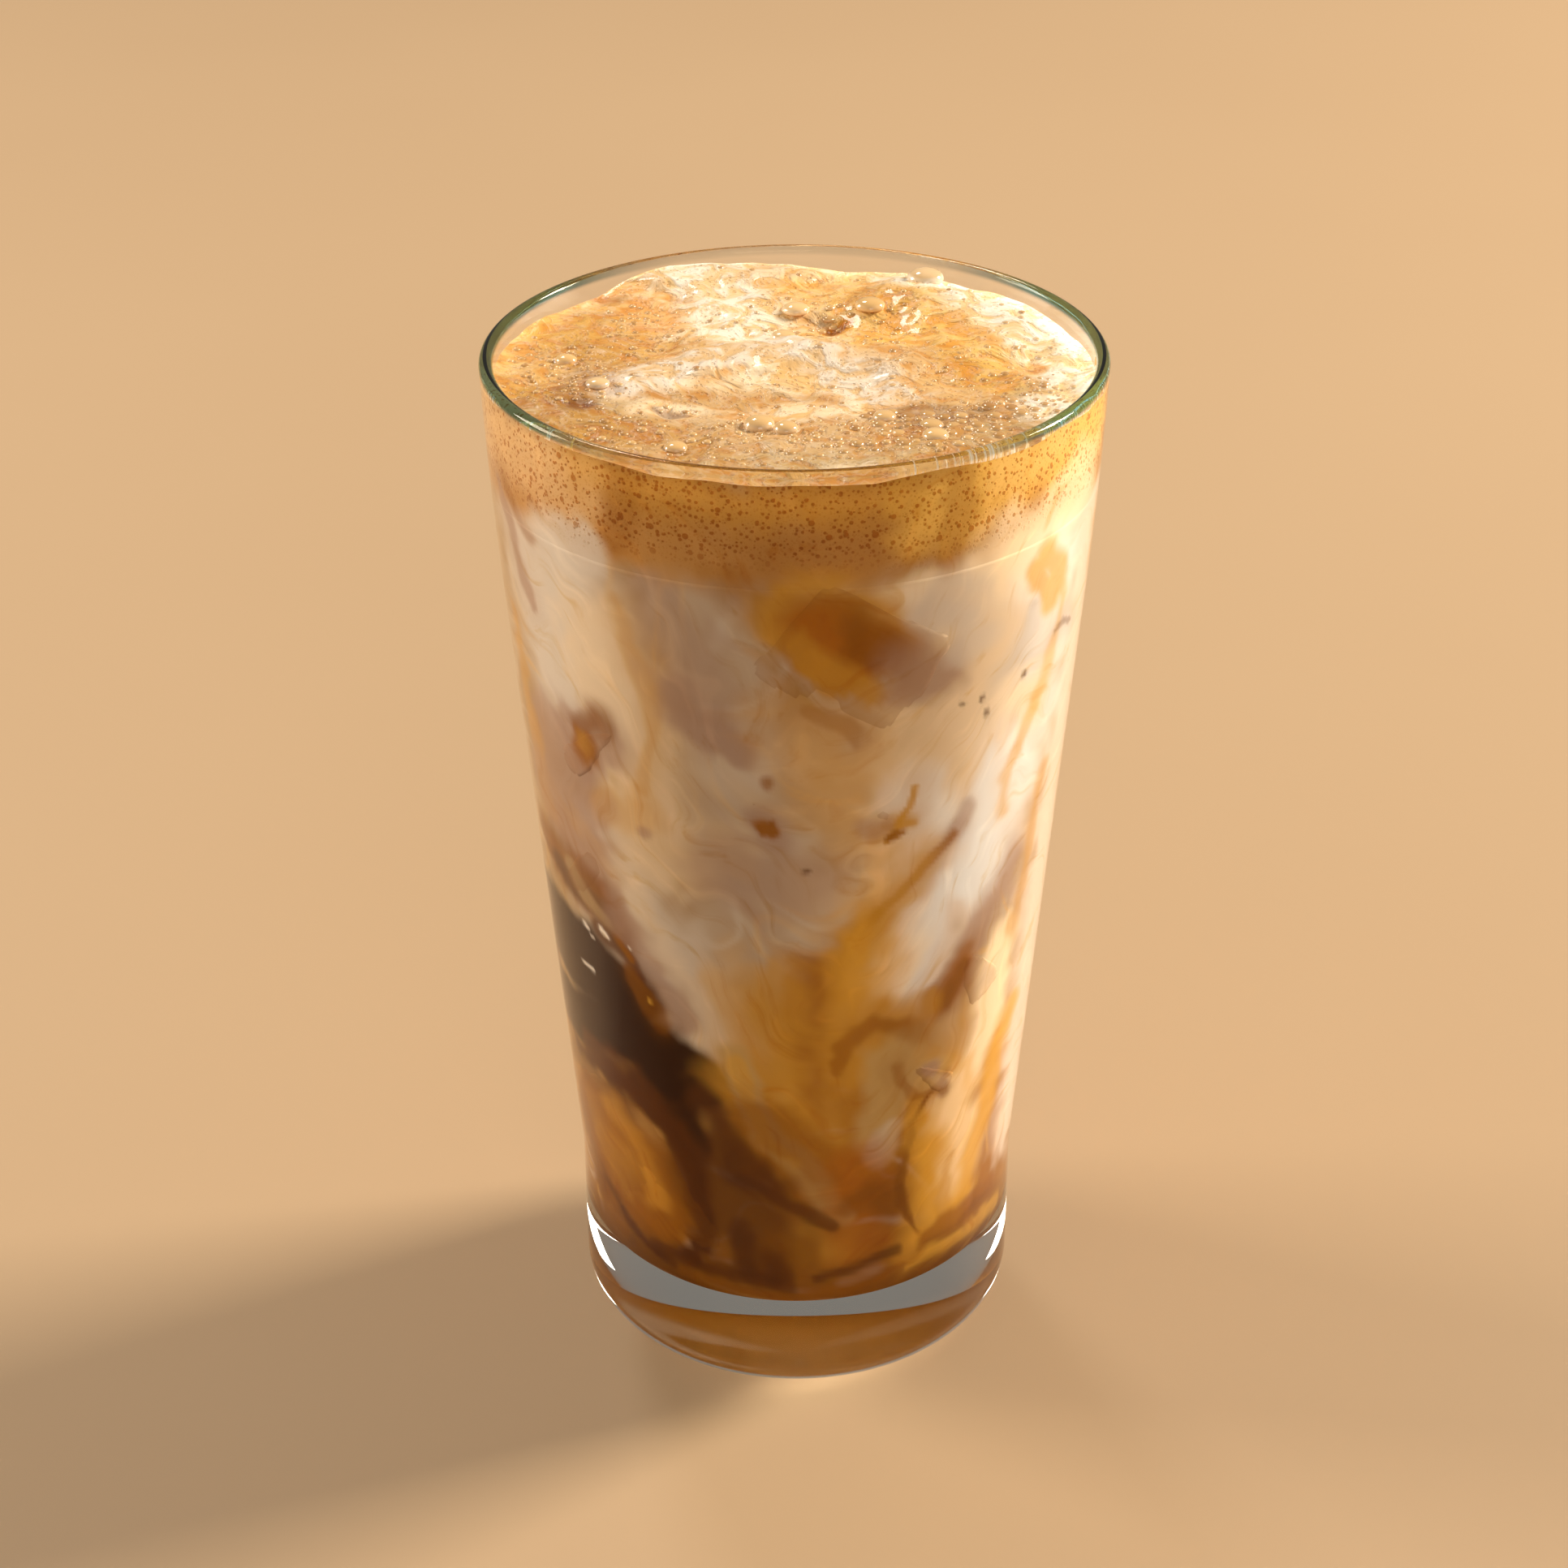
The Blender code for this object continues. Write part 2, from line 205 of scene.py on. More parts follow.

# Swirls on the drink's side, painted in this order:
# colour, half width and softness in mm, strength, and the places of the route as (degrees, mm)
# Greyish-pink strokes are painted shade, in the milk and at the edges of ice.
SWIRLS = (
    # milk and cream behind everything else
    ("milk", 8, 6, 0.95, (-56, 132), (-50, 124), (-47, 112)),
    ("milk", 3.5, 6, 0.75, (-44, 90), (-36, 80), (-26, 70), (-18, 60)),
    ("milk", 2.6, 5, 0.45, (-20, 130), (-14, 120), (-10, 108)),
    ("milk", 5, 7, 0.35, (-14, 104), (-10, 94), (-4, 80)),
    ("cream", 5, 5, 0.9, (28, 130), (42, 132), (56, 134)),
    ("straw", 6, 9, 0.7, (94, 136), (106, 118), (94, 98), (104, 74), (92, 40)),
    ("edge", 4.6, 7, 1, (73, 134), (77, 120), (75, 92), (74, 66), (74, 36)),
    ("gold", 1.6, 4, 0.6, (84, 128), (92, 112), (88, 92), (97, 72), (90, 52)),
    ("pearl", 4.5, 5, 0.6, (56, 130), (57, 113), (54, 100)),
    ("milk", 4.5, 5, 0.85, (30, 127), (38, 117), (45, 103)),
    ("cream", 3.6, 4, 0.8, (50, 109), (38, 97), (31, 88)),
    ("edge", 3.6, 4, 0.9, (36, 96), (31, 86), (26, 72)),
    ("pearl", 1.6, 4, 0.6, (34, 90), (30, 82), (25, 72)),
    ("cream", 2.4, 4, 0.7, (26, 82), (20, 74), (17, 66)),
    ("cream", 2.6, 3, 0.85, (54, 70), (52, 58), (47, 50)),
    ("wheat", 4.5, 6, 0.65, (-38, 122), (-34, 108), (-30, 92)),
    ("wheat", 5, 6, 0.8, (31, 122), (29, 108), (28, 94)),
    ("wheat", 3, 6, 0.4, (12, 112), (13, 100), (12, 88)),
    ("edge", 4.5, 5, 0.85, (50, 104), (47, 92), (42, 84)),
    ("pearl", 3.4, 4, 0.75, (50, 102), (47, 93), (44, 86)),
    ("pearl", 3.2, 4.5, 0.6, (25, 100), (27, 92), (28, 84)),
    ("mauve", 4.4, 5, 0.75, (-60, 102), (-54, 95), (-50, 86)),
    # head of foam against the glass, darker than its top: partly its own colour, partly painted shade
    ("froth", 6, 3, 1, (-100, 142), (-48, 142), (0, 141), (38, 142), (56, 143), (100, 143)),
    ("froth", 6, 3, 1, (95, 142), (140, 142), (180, 141), (220, 142), (265, 142)),
    ("amber", 3, 5, 0.35, (-2, 138.5), (9, 139.5), (17, 140)),
    ("apricot", 2.5, 3, 0.4, (23, 140), (33, 141)),
    ("wheat", 2, 3, 0.6, (42, 145), (54, 146)),
    ("biscuit", 3, 4, 0.7, (-80, 145), (-60, 144), (-42, 143)),
    ("apricot", 3.6, 4, 0.8, (26, 143), (36, 144), (50, 145), (70, 145)),
    ("gold", 1.8, 4, 0.5, (-40, 146), (-16, 145), (4, 145), (18, 145.5)),
    ("caramel", 0.8, 2, 0.35, (-34, 148), (-12, 147.5), (0, 147.5), (14, 147.5), (30, 148)),
    ("amber", 1.2, 2.5, 0.4, (-33, 138), (-32, 144)),
    ("amber", 1.2, 2.5, 0.4, (28, 136), (30, 141), (31, 146)),
    ("milk", 2.2, 3, 0.8, (-52, 134), (-44, 133), (-40, 136)),
    ("cream", 3, 4, 0.7, (46, 135), (56, 136), (66, 139)),
    # thin marks at the left edge
    ("mauve", 0.7, 1.4, 0.8, (-72, 137), (-65, 127), (-60, 122)),
    ("amber", 0.5, 1.6, 0.55, (-68, 138), (-62, 134), (-58, 132)),
    ("gold", 1.2, 2.4, 0.6, (-72, 118), (-70, 104), (-66, 90)),
    ("gold", 1, 3.5, 0.35, (-44, 97), (-38, 96), (-32, 98)),
    ("gold", 1.6, 3, 0.25, (-62, 92), (-54, 90), (-48, 88)),
    ("gold", 0.5, 1.8, 0.5, (-36, 129), (-31, 123), (-28, 117), (-29, 110), (-33, 101)),
    ("mauve", 2, 4, 0.45, (-27, 130), (-22, 122), (-14, 111)),
    ("mauve", 1.5, 2, 0.6, (-23, 117), (-17, 113), (-12, 109)),
    ("mauve", 3, 5, 0.5, (-16, 91), (-6, 89), (4, 90)),
    ("gold", 2, 7, 0.4, (2, 114), (8, 106), (10, 98)),
    ("amber", 1.5, 3, 0.4, (-12, 134), (-6, 132), (-4, 128)),
    # right side marks
    ("honey", 1.6, 1.6, 0.75, (52, 129), (56, 125), (60, 128), (55, 131)),
    ("honey", 0.6, 1.6, 0.6, (62, 124), (60, 112), (50, 102), (49, 93)),
    ("rust", 0.4, 0.8, 0.6, (61, 118.5), (64, 119), (68, 118)),
    ("gold", 0.6, 1.8, 0.6, (64, 96), (62, 84), (59, 72)),
    # the big ice under the foam
    ("gold", 5, 3, 0.85, (1, 130), (9, 127), (15, 126)),
    ("amber", 3.4, 3.6, 0.85, (6, 128), (13, 124)),
    ("copper", 3, 3, 0.6, (4, 127), (9, 123)),
    ("rust", 1.4, 2.4, 0.35, (11, 127.5), (14, 124)),
    ("copper", 1.4, 3, 0.35, (17, 126), (22, 124)),
    ("gold", 1.8, 1.2, 0.8, (0, 126), (6, 121.5), (14, 118.5)),
    ("caramel", 1.5, 3, 0.6, (13, 125), (18, 124)),
    ("mauve", 2.6, 3, 0.8, (22, 121), (28, 119.5)),
    ("milk", 1.6, 2.4, 0.7, (25, 128), (33, 126)),
    ("milk", 0.8, 2.5, 0.6, (33, 122), (37, 124)),
    ("amber", 0.5, 1.2, 0.5, (3, 116), (9, 114), (12, 111)),
    # window onto the ice at the left
    ("mauve", 3, 3.4, 0.75, (-49, 104.5), (-43, 107)),
    ("caramel", 0.7, 2.4, 0.75, (-48, 106), (-42, 110)),
    ("amber", 1.7, 1.3, 0.95, (-48.5, 103.5), (-46, 105)),
    ("gold", 0.6, 1.2, 0.5, (-48, 104), (-47, 105)),
    # spots where ice corners touch the glass
    ("mauve", 1.6, 2.6, 0.7, (-8, 99), (-5, 96)),
    ("amber", 1.4, 0.8, 0.95, (-8, 98.2), (-6.5, 97.6)),
    ("amber", 0.5, 1, 0.7, (-5.2, 105)),
    ("rust", 0.3, 0.5, 0.7, (1.2, 91)),
    ("gold", 1.4, 1.6, 0.6, (17, 97), (22, 98)),
    ("gold", 0.4, 0.7, 0.9, (25, 103), (24, 100), (20.5, 97.5), (18, 95)),
    ("gold", 0.5, 0.8, 0.8, (18, 98), (21, 97.5), (24, 97)),
    ("amber", 0.6, 0.7, 0.9, (18.6, 95.6), (21, 95.9)),
    ("mauve", 0.8, 2, 0.5, (14, 98), (18, 98)),
    ("rust", 0.35, 0.6, 0.8, (52, 114)),
    ("rust", 0.25, 0.5, 0.7, (34, 114)),
    ("rust", 0.35, 0.5, 0.8, (39, 113)),
    ("rust", 0.25, 0.5, 0.7, (41, 111)),
    ("mauve", 0.5, 1.2, 0.6, (-33, 94.5)),
    # the honey river that runs down to the right of the middle
    ("mauve", 0.6, 1.6, 0.6, (38, 97), (34, 93)),
    ("gold", 1.4, 3, 0.55, (30, 90), (22, 85), (13, 79), (9, 72)),
    ("amber", 0.28, 0.9, 0.8, (34, 93), (29, 90), (26, 88), (18, 84), (12, 80)),
    ("amber", 0.5, 1.4, 0.85, (18, 84), (12, 80), (10, 75), (9, 70)),
    ("gold", 2.6, 4, 0.8, (11, 78), (8, 71), (5, 64), (2, 54)),
    ("orange", 1, 3, 0.35, (22, 66), (15, 62), (13, 55)),
    ("amber", 1.2, 3.5, 0.7, (4, 76), (2, 68), (2, 60), (4, 50)),
    ("honey", 2.2, 4, 0.55, (22, 92), (17, 80), (15, 70)),
    ("honey", 3, 5, 0.5, (-12, 70), (-9, 60), (-5, 50)),
    ("gold", 2, 4, 0.5, (-4, 74), (-7, 62), (-10, 54)),
    # slanted ice at the right
    ("mauve", 1.4, 3.2, 0.75, (54, 84), (47, 77), (40, 70), (34, 66)),
    ("amber", 1.4, 3, 0.8, (41, 71), (36, 66)),
    ("caramel", 0.9, 1.8, 0.8, (41, 70.5), (37.5, 67), (36, 65)),
    ("gold", 0.8, 3, 0.6, (31, 66), (24, 66), (18, 64)),
    # espresso pool at the left
    ("mauve", 2.6, 3, 0.6, (-70, 94), (-58, 88), (-46, 82)),
    ("caramel", 2.4, 3, 0.95, (-72, 84), (-62, 82), (-50, 80), (-42, 76)),
    ("rust", 1.4, 1.6, 0.8, (-66, 82), (-58, 79), (-47, 78)),
    ("tan", 0.7, 1.2, 0.8, (-60, 83), (-54, 79), (-47, 76.5)),
    ("wheat", 1.4, 2.6, 0.4, (-40, 86), (-33, 78), (-25, 69), (-16, 59), (-12, 51)),
    ("mauve", 2.4, 3, 0.7, (-42, 79), (-34, 71), (-27, 65)),
    ("caramel", 6, 9, 0.75, (-122, 52), (-108, 58), (-92, 60)),
    ("rust", 5, 6, 0.9, (-112, 60), (-100, 64), (-88, 64)),
    ("espresso", 7, 1.4, 1, (-82, 68), (-62, 68), (-52, 67), (-45, 65)),
    ("espresso", 5, 1.2, 1, (-78, 54), (-60, 56), (-46, 58), (-34, 58), (-25, 56)),
    ("espresso", 4, 1, 1, (-38, 56), (-29, 54), (-21, 55)),
    ("caramel", 2.6, 2.4, 0.85, (-22, 52), (-16, 46), (-10, 40)),
    ("espresso", 3, 1.4, 1, (-36, 52), (-31, 47), (-28, 43)),
    ("espresso", 2.6, 1.6, 0.9, (-42, 49), (-33, 49), (-24, 52)),
    ("rust", 2.4, 2.4, 0.85, (-62, 51), (-46, 50), (-36, 46)),
    ("rust", 1, 1.4, 0.85, (-50, 74), (-42, 73), (-37, 70)),
    ("caramel", 1.1, 1.6, 0.75, (-41, 71), (-36, 66), (-32, 63)),
    ("amber", 0.5, 0.8, 0.8, (-44, 74.5), (-40, 72.5)),
    # painted highlights: tiny glints on the ice's edges at the pool
    ("silk", 0.18, 0.35, 0.9, (-56, 72.6), (-54.5, 72.2)),
    ("silk", 0.16, 0.3, 0.9, (-53, 71.5)),
    ("silk", 0.2, 0.35, 0.9, (-49, 74.4), (-47.5, 74)),
    ("silk", 0.16, 0.3, 0.8, (-40, 74.6)),
    ("silk", 0.14, 0.3, 0.8, (-58, 66.5), (-54, 65.6)),
    ("honey", 0.2, 0.35, 0.7, (-36, 66)),
    # the lower middle
    ("gold", 4, 4, 0.8, (15, 64), (17, 54), (15, 44)),
    ("amber", 2, 4, 0.5, (13, 52), (15, 44)),
    ("gold", 3.5, 4, 0.75, (-14, 56), (-8, 50), (0, 46)),
    ("amber", 0.32, 1.8, 0.75, (10, 57), (12, 62), (18, 65), (25, 64), (29, 61)),
    ("straw", 2.6, 3, 0.8, (19, 46), (22, 52), (24, 58)),
    ("milk", 1.2, 2.4, 0.5, (20, 42), (24, 46)),
    ("straw", 2, 1.4, 0.9, (-15, 60), (-12, 53), (-8, 47), (-1, 42), (7, 36), (13, 31)),
    ("honey", 0.7, 1.4, 0.6, (-15, 59), (-12, 52), (-8, 46), (-1, 41)),
    ("amber", 3, 4, 0.75, (-10, 49), (0, 44), (9, 38)),
    ("rust", 3.5, 4.5, 0.65, (-24, 36), (-14, 30), (-4, 25)),
    ("rust", 2.2, 3, 0.75, (-24, 50), (-20, 45), (-14, 40), (-6, 37)),
    ("gold", 2.6, 4, 0.45, (6, 26), (14, 24)),
    ("caramel", 2, 3, 0.6, (-3, 26), (4, 22)),
    ("copper", 3, 4, 0.5, (15, 40), (18, 32), (18, 23)),
    ("rust", 0.5, 1.8, 0.8, (-14, 38), (-5, 35.5), (4, 32.5), (10, 29)),
    ("rust", 0.9, 1.8, 0.8, (-15, 28), (-13, 22)),
    ("rust", 1.2, 2.6, 0.75, (-6, 22), (-2, 18)),
    # amber ice at the lower left
    ("amber", 6.5, 3, 1, (-62, 37), (-50, 34), (-42, 28)),
    ("gold", 3, 4, 0.45, (-60, 38), (-52, 33)),
    ("caramel", 1.6, 3, 0.7, (-74, 36), (-70, 28), (-64, 24)),
    ("rust", 2.2, 3, 0.65, (-76, 46), (-60, 46), (-48, 45)),
    ("caramel", 2, 3, 0.5, (-70, 41), (-62, 41), (-52, 40)),
    ("orange", 0.9, 3, 0.4, (-55, 43), (-45, 38), (-40, 30)),
    ("rust", 0.9, 2.2, 0.95, (-70, 49), (-58, 49), (-44, 48), (-33, 44), (-27, 37), (-25, 28), (-31, 20)),
    ("caramel", 1.8, 2.4, 0.8, (-72, 38), (-68, 28), (-58, 22), (-46, 18), (-34, 16)),
    ("rust", 0.5, 1.5, 0.9, (-64, 28), (-50, 22), (-40, 19), (-33, 17)),
    # yellow swirl and small ice at the lower right
    ("honey", 5.6, 3.4, 0.9, (39, 47), (41, 36), (40, 24)),
    ("cream", 3, 4, 0.6, (40, 47), (45, 42), (48, 34)),
    ("gold", 0.5, 1.6, 0.6, (43, 36), (42, 30), (45, 24)),
    ("honey", 1.6, 2.4, 0.8, (64, 58), (57, 50), (54, 38), (50, 28)),
    ("caramel", 0.35, 1.1, 0.95, (34, 50), (29, 46), (27, 38), (29, 31), (35, 25)),
    ("caramel", 0.7, 2.2, 0.65, (14, 33), (19, 35), (23, 34), (27, 30)),
    ("straw", 2.6, 1.2, 0.75, (31, 54), (34, 53)),
    ("mauve", 1.2, 1.2, 0.8, (31, 55), (34, 54)),
    ("amber", 0.4, 1.4, 0.65, (25.5, 57), (26, 54), (29, 50.5), (35, 49.5), (38, 52)),
    ("caramel", 0.5, 1, 0.7, (36.5, 49), (38, 50)),
    ("honey", 2, 3, 0.5, (30, 46), (31, 40)),
    ("orange", 1.2, 3, 0.4, (28, 22), (34, 24)),
    ("amber", 1.8, 1.8, 0.8, (38, 23), (52, 24), (64, 25)),
    ("caramel", 0.7, 1.4, 0.8, (36, 21), (48, 21.5), (56, 24), (74, 21)),
    ("honey", 1.2, 1.4, 0.75, (32, 18), (50, 19), (72, 19)),
    # along the bottom edge
    ("rust", 0.8, 1.6, 0.8, (-42, 21), (-20, 20), (-5, 19.5)),
    ("rust", 0.7, 1.4, 0.8, (8, 20), (18, 21.5), (28, 23)),
    ("amber", 0.9, 1.6, 0.8, (-35, 16.5), (0, 15.5), (25, 17.5)),
)

# Thin threads of colour along the drink's swirls: colour, size in mm, seed, width and strength
THREADS = (
    ("gold", 11, 71, 0.1, 0.55),
    ("honey", 7, 73, 0.14, 0.4),
    ("milk", 8, 75, 0.16, 0.35),
    # greyish-pink threads of painted shade
    ("mauve", 9, 77, 0.1, 0.25),
)

# Patches on the foam's top: colour, half width, softness, strength and the route's places, in mm
FOAM_PATCHES = (
    ("straw", 7, 6, 0.85, (-34, -16), (-21, -22), (-3, -27), (17, -24), (26, -18), (33, -10)),
    ("biscuit", 5, 5, 0.6, (-14, -20), (0, -22), (16, -20)),
    ("gold", 3.5, 4, 0.7, (-33, -10), (-27, -19), (-14, -26)),
    ("honey", 6, 6, 0.8, (-38, 16), (-36, 8), (-33, -4)),
    ("honey", 5, 5, 0.8, (-31, 18), (-24, 11), (-19, 5), (-13, 3)),
    ("gold", 2.4, 4, 0.6, (-29, 8), (-24, 2), (-22, -4)),
    ("orange", 3.5, 4, 0.6, (-27, 28), (-22, 24), (-19, 19)),
    ("amber", 1.4, 2.2, 0.5, (-28, 28), (-25, 27)),
    ("orange", 1.6, 1.8, 0.85, (-16, 27.5), (-14, 27)),
    ("amber", 0.7, 1, 0.6, (-15.5, 27.4), (-14.2, 27)),
    ("white", 3.5, 4, 0.9, (-17, 37), (-12, 34), (-9, 26), (-9, 18), (-5, 9)),
    ("apricot", 5, 4, 0.75, (4, 29), (9, 31), (14, 31), (15, 21), (9, 21)),
    ("honey", 2, 3, 0.6, (8, 26), (15, 24)),
    ("orange", 1.8, 1, 0.95, (4.1, 19), (6.3, 20.8)),
    ("amber", 0.6, 0.8, 0.7, (4.4, 19), (5.6, 20)),
    ("apricot", 3, 3, 0.6, (1, 14), (6, 11), (11, 9)),
    ("apricot", 5, 4, 0.85, (14, 11), (20, 13), (22, 6), (25, -4), (19, -5)),
    ("honey", 2.5, 3, 0.7, (19, 6), (24, -3)),
    ("biscuit", 4, 4, 0.75, (13, 3), (14, -3), (17, -8), (22, -13)),
    ("white", 4, 4, 1, (17, 34), (25, 32), (31, 20), (36, 7), (38, -5), (35, -15)),
    ("orange", 1.2, 1, 0.8, (30.8, 2.4), (32, 1.6)),
    # painted shade on the ridge's slope that faces the viewer
    ("gold", 2, 2.5, 0.75, (-20, -9), (-8, -9.5), (3, -8)),
    # painted sheen along the ridge's crest
    ("silk", 2.6, 2.2, 0.95, (-24, -8), (-14, 0.5), (-5, 4.9), (3, 3.9)),
    ("silk", 3.2, 2.6, 0.85, (7.6, -1), (11.8, -6)),
    ("cream", 1.8, 2.2, 0.8, (-19, -14), (-13.4, -12.7)),
    ("cream", 2.4, 2.4, 0.75, (-3, -13), (2.2, -10.3)),
    ("amber", 2, 3, 0.5, (-29, -14), (-27, -9), (-26.6, -1.5)),
    ("caramel", 1, 1.2, 0.8, (-28.2, -14.4), (-26.4, -13.6)),
    ("caramel", 0.8, 1, 0.7, (-17.5, -14), (-14.5, -14.6)),
    ("toffee", 2.4, 3, 0.65, (14.7, -14.3), (18.7, -17), (22, -17)),
    ("gold", 2, 3, 0.6, (12.3, -23.6), (17, -25)),
)

# Where small bubbles crowd: share of places taken, largest radius, half width, softness and route, in mm
BUBBLY = (
    (1, 1.05, 3.5, 3, (12, -17), (17, -19), (22, -18), (27, -15)),
    (0.8, 0.9, 2.5, 2.5, (8, -24), (15, -26), (24, -23)),
    (0.9, 0.65, 3, 3, (-27, -9), (-28, -2), (-31, 5)),
    (0.4, 0.5, 3, 4, (-37, 8), (-35, -3), (-31, -10)),
    (0.35, 0.75, 4, 4, (-22, -22), (-10, -25), (0, -26), (8, -24)),
    (0.5, 0.4, 2.5, 2.5, (-6, -19), (0, -21), (6, -18)),
    (0.4, 0.7, 3, 3, (26, -3), (31, -6), (33, -12)),
    (0.25, 0.5, 4, 4, (-24, 5), (-18, 10), (-22, 18)),
    (0.2, 0.6, 3, 3, (10, 12), (18, 6), (15, -4)),
    (0.25, 0.9, 3, 3, (0, 14), (-1, 22), (9, 22)),
)

# Elsewhere bubbles are stray ones. All keep off the wall by a margin in mm, and apart in parts of a radius.
STRAY_SHARE = 0.03
STRAY_RADIUS = 0.6
BUBBLE_TRIES = 6000
BUBBLE_SEED = 7
SMALLEST_BUBBLE = 0.17
BUBBLE_SPACING = 0.95
WALL_MARGIN = 1.0

# How a bubble is made: a ball's cap of rings and segments, more of them if it is large, sunk by a part of
# its radius. Its flatness and its tone are drawn, each from a least value and a spread.
CAP_SPREAD = math.radians(105)
PLAIN_CAP = (4, 10)
FINE_CAP = (10, 28)
FINE_RADIUS = 0.8
SUNK = 0.08
FLATNESS = (0.42, 0.16)
SMALL_TONE = (0.3, 0.45)
LARGE_TONE = (0.75, 0.25)
LARGE_RADIUS = 1.2

# Beads and streaks of foam that cling to the inner wall above the foam: degrees from and to, how many.
# Their level and their half sizes in mm are drawn, each from a least value and a spread.
LACE = ((20, 64, 150), (-78, -40, 40), (64, 90, 20))
LACE_LEVEL = (147.3, 1.1)
LACE_WIDTH = (0.08, 0.1)
LACE_LENGTH = (0.2, 0.6)
LACE_DEPTH = 0.1

# Ice pressed against the glass: degrees from the front, height in mm, how far it reaches past the wall,
# half sizes in mm, turns in degrees, and the colour it shows with its strength
ICE = (
    (12, 124, 1.7, (11, 11, 9), (10, 34, 14), "amber", 0.25),
    (-46, 105, 1, (9, 8, 9), (38, 30, 20), "amber", 0.3),
    # the slanted ice at the right shows greyish-pink painted shade
    (41, 70, 0.7, (9, 8, 5), (8, 50, 36), "mauve", 0.3),
    (32, 53, 0.7, (6, 6, 6), (30, 40, 25), "milk", 0.3),
    (-7, 98, 0.4, (9, 9, 9), (42, 36, 15), "amber", 0.45),
    (20, 96, 0.4, (8, 9, 8), (40, 38, 40), "gold", 0.4),
    (-50, 34, 2.2, (11, 9, 15), (8, -22, -44), "amber", 0.25),
    (-50, 81, 0.9, (9, 9, 6), (20, 35, -20), "caramel", 0.4),
    (112, 106, 1.2, (9, 9, 9), (12, 14, 30), "honey", 0.4),
    (150, 74, 1.3, (10, 9, 8), (10, 14, 70), "amber", 0.45),
    (205, 116, 1.2, (10, 9, 9), (14, -12, 33), "honey", 0.4),
    (238, 54, 1.3, (9, 9, 11), (-12, 10, 66), "amber", 0.45),
    (182, 32, 1.3, (10, 9, 10), (12, 14, 8), "caramel", 0.5),
)
ICE_STEPS = 18
ICE_SQUARENESS = 7.0
ICE_UNEVENNESS = 0.04
ICE_STANDS_OUT = 0.03

# How ice tints the drink: fully where it reaches this far past the wall in mm, and darker in a line at its
# edge, a painted shade given as a place, a half width and a strength
ICE_FULL_TINT = 1.2
ICE_EDGE_SHADE = (0.15, 0.35, 0.28)


class Wire:
    """A node's output that can be used in arithmetic: each operator adds its own Math node."""

    def __init__(self, finish, socket):
        self.finish = finish
        self.socket = socket

    def math(self, operation, *values):
        return self.finish.node("ShaderNodeMath", {"operation": operation}, dict(enumerate(values)))

    def __add__(self, other):
        return self.math("ADD", self, other)

    def __radd__(self, other):
        return self.math("ADD", other, self)

    def __sub__(self, other):
        return self.math("SUBTRACT", self, other)

    def __rsub__(self, other):
        return self.math("SUBTRACT", other, self)

    def __mul__(self, other):
        return self.math("MULTIPLY", self, other)

    def __rmul__(self, other):
        return self.math("MULTIPLY", other, self)

    def __abs__(self):
        return self.math("ABSOLUTE", self)

    def larger(self, other):
        return self.math("MAXIMUM", self, other)


class Finish:
    """One material and the nodes that give it its looks."""

    def __init__(self, name):
        self.material = bpy.data.materials.new(name)
        self.material.use_nodes = True
        self.tree = self.material.node_tree
        self.tree.nodes.clear()

    def node(self, kind, settings=None, sockets=None, output=0):
        """Adds a node, sets its settings, then gives its sockets their values or links."""
        node = self.tree.nodes.new(kind)
        for name, value in (settings or {}).items():
            setattr(node, name, value)
        for key, value in (sockets or {}).items():
            if isinstance(key, str):
                socket = next(each for each in node.inputs if each.name == key and each.enabled)
            else:
                socket = node.inputs[key]
            if isinstance(value, Wire):
                self.tree.links.new(value.socket, socket)
            elif isinstance(value, tuple) and socket.type == "RGBA":
                socket.default_value = (*value, 1.0)
            else:
                socket.default_value = value
        outputs = [each for each in node.outputs if each.enabled]
        return Wire(self, outputs[output]) if outputs else None

    def stored(self, name, output=2):
        """A value kept on the mesh: output 2 is its number, 0 its colour and 1 its vector."""
        return self.node("ShaderNodeAttribute", {"attribute_name": name}, output=output)

    def place(self):
        return self.node("ShaderNodeTexCoord", output=3)

    def step(self, value, low, high):
        """0 below low, 1 above high, and a smooth rise between; high may be the smaller one."""
        sockets = {"Value": value, "From Min": low, "From Max": high}
        return self.node("ShaderNodeMapRange", {"interpolation_type": "SMOOTHSTEP"}, sockets)

    def blend(self, share, first, second, how="MIX"):
        """The first colour where share is 0, the second, or the two multiplied, where it is 1."""
        sockets = {"Factor": share, "A": first, "B": second}
        return self.node("ShaderNodeMix", {"data_type": "RGBA", "blend_type": how}, sockets)

    def clouds(self, vector, scale, detail=3.0, distortion=0.0):
        sockets = {"Vector": vector, "Scale": scale, "Detail": detail, "Distortion": distortion}
        return self.node("ShaderNodeTexNoise", {"noise_dimensions": "3D"}, sockets)

    def dots(self, vector, scale, radius, spread):
        """1 in round dots and 0 outside; radius and spread of sizes are in parts of their spacing."""
        sockets = {"Vector": vector, "Scale": scale}
        away = self.node("ShaderNodeTexVoronoi", sockets=sockets)
        chance = self.node("ShaderNodeTexVoronoi", sockets=sockets, output=1)
        chance = self.node("ShaderNodeSeparateColor", sockets={"Color": chance})
        return self.step(away + chance * spread, radius, radius * 0.72)

    def bump(self, height, strength, distance):
        sockets = {"Height": height, "Strength": strength, "Distance": distance}
        return self.node("ShaderNodeBump", sockets=sockets)

    def surface(self, sockets):
        return self.node("ShaderNodeBsdfPrincipled", sockets=sockets)

    def show(self, surface, volume=None):
        sockets = {"Surface": surface}
        if volume:
            sockets["Volume"] = volume
        self.node("ShaderNodeOutputMaterial", sockets=sockets)
        return self.material


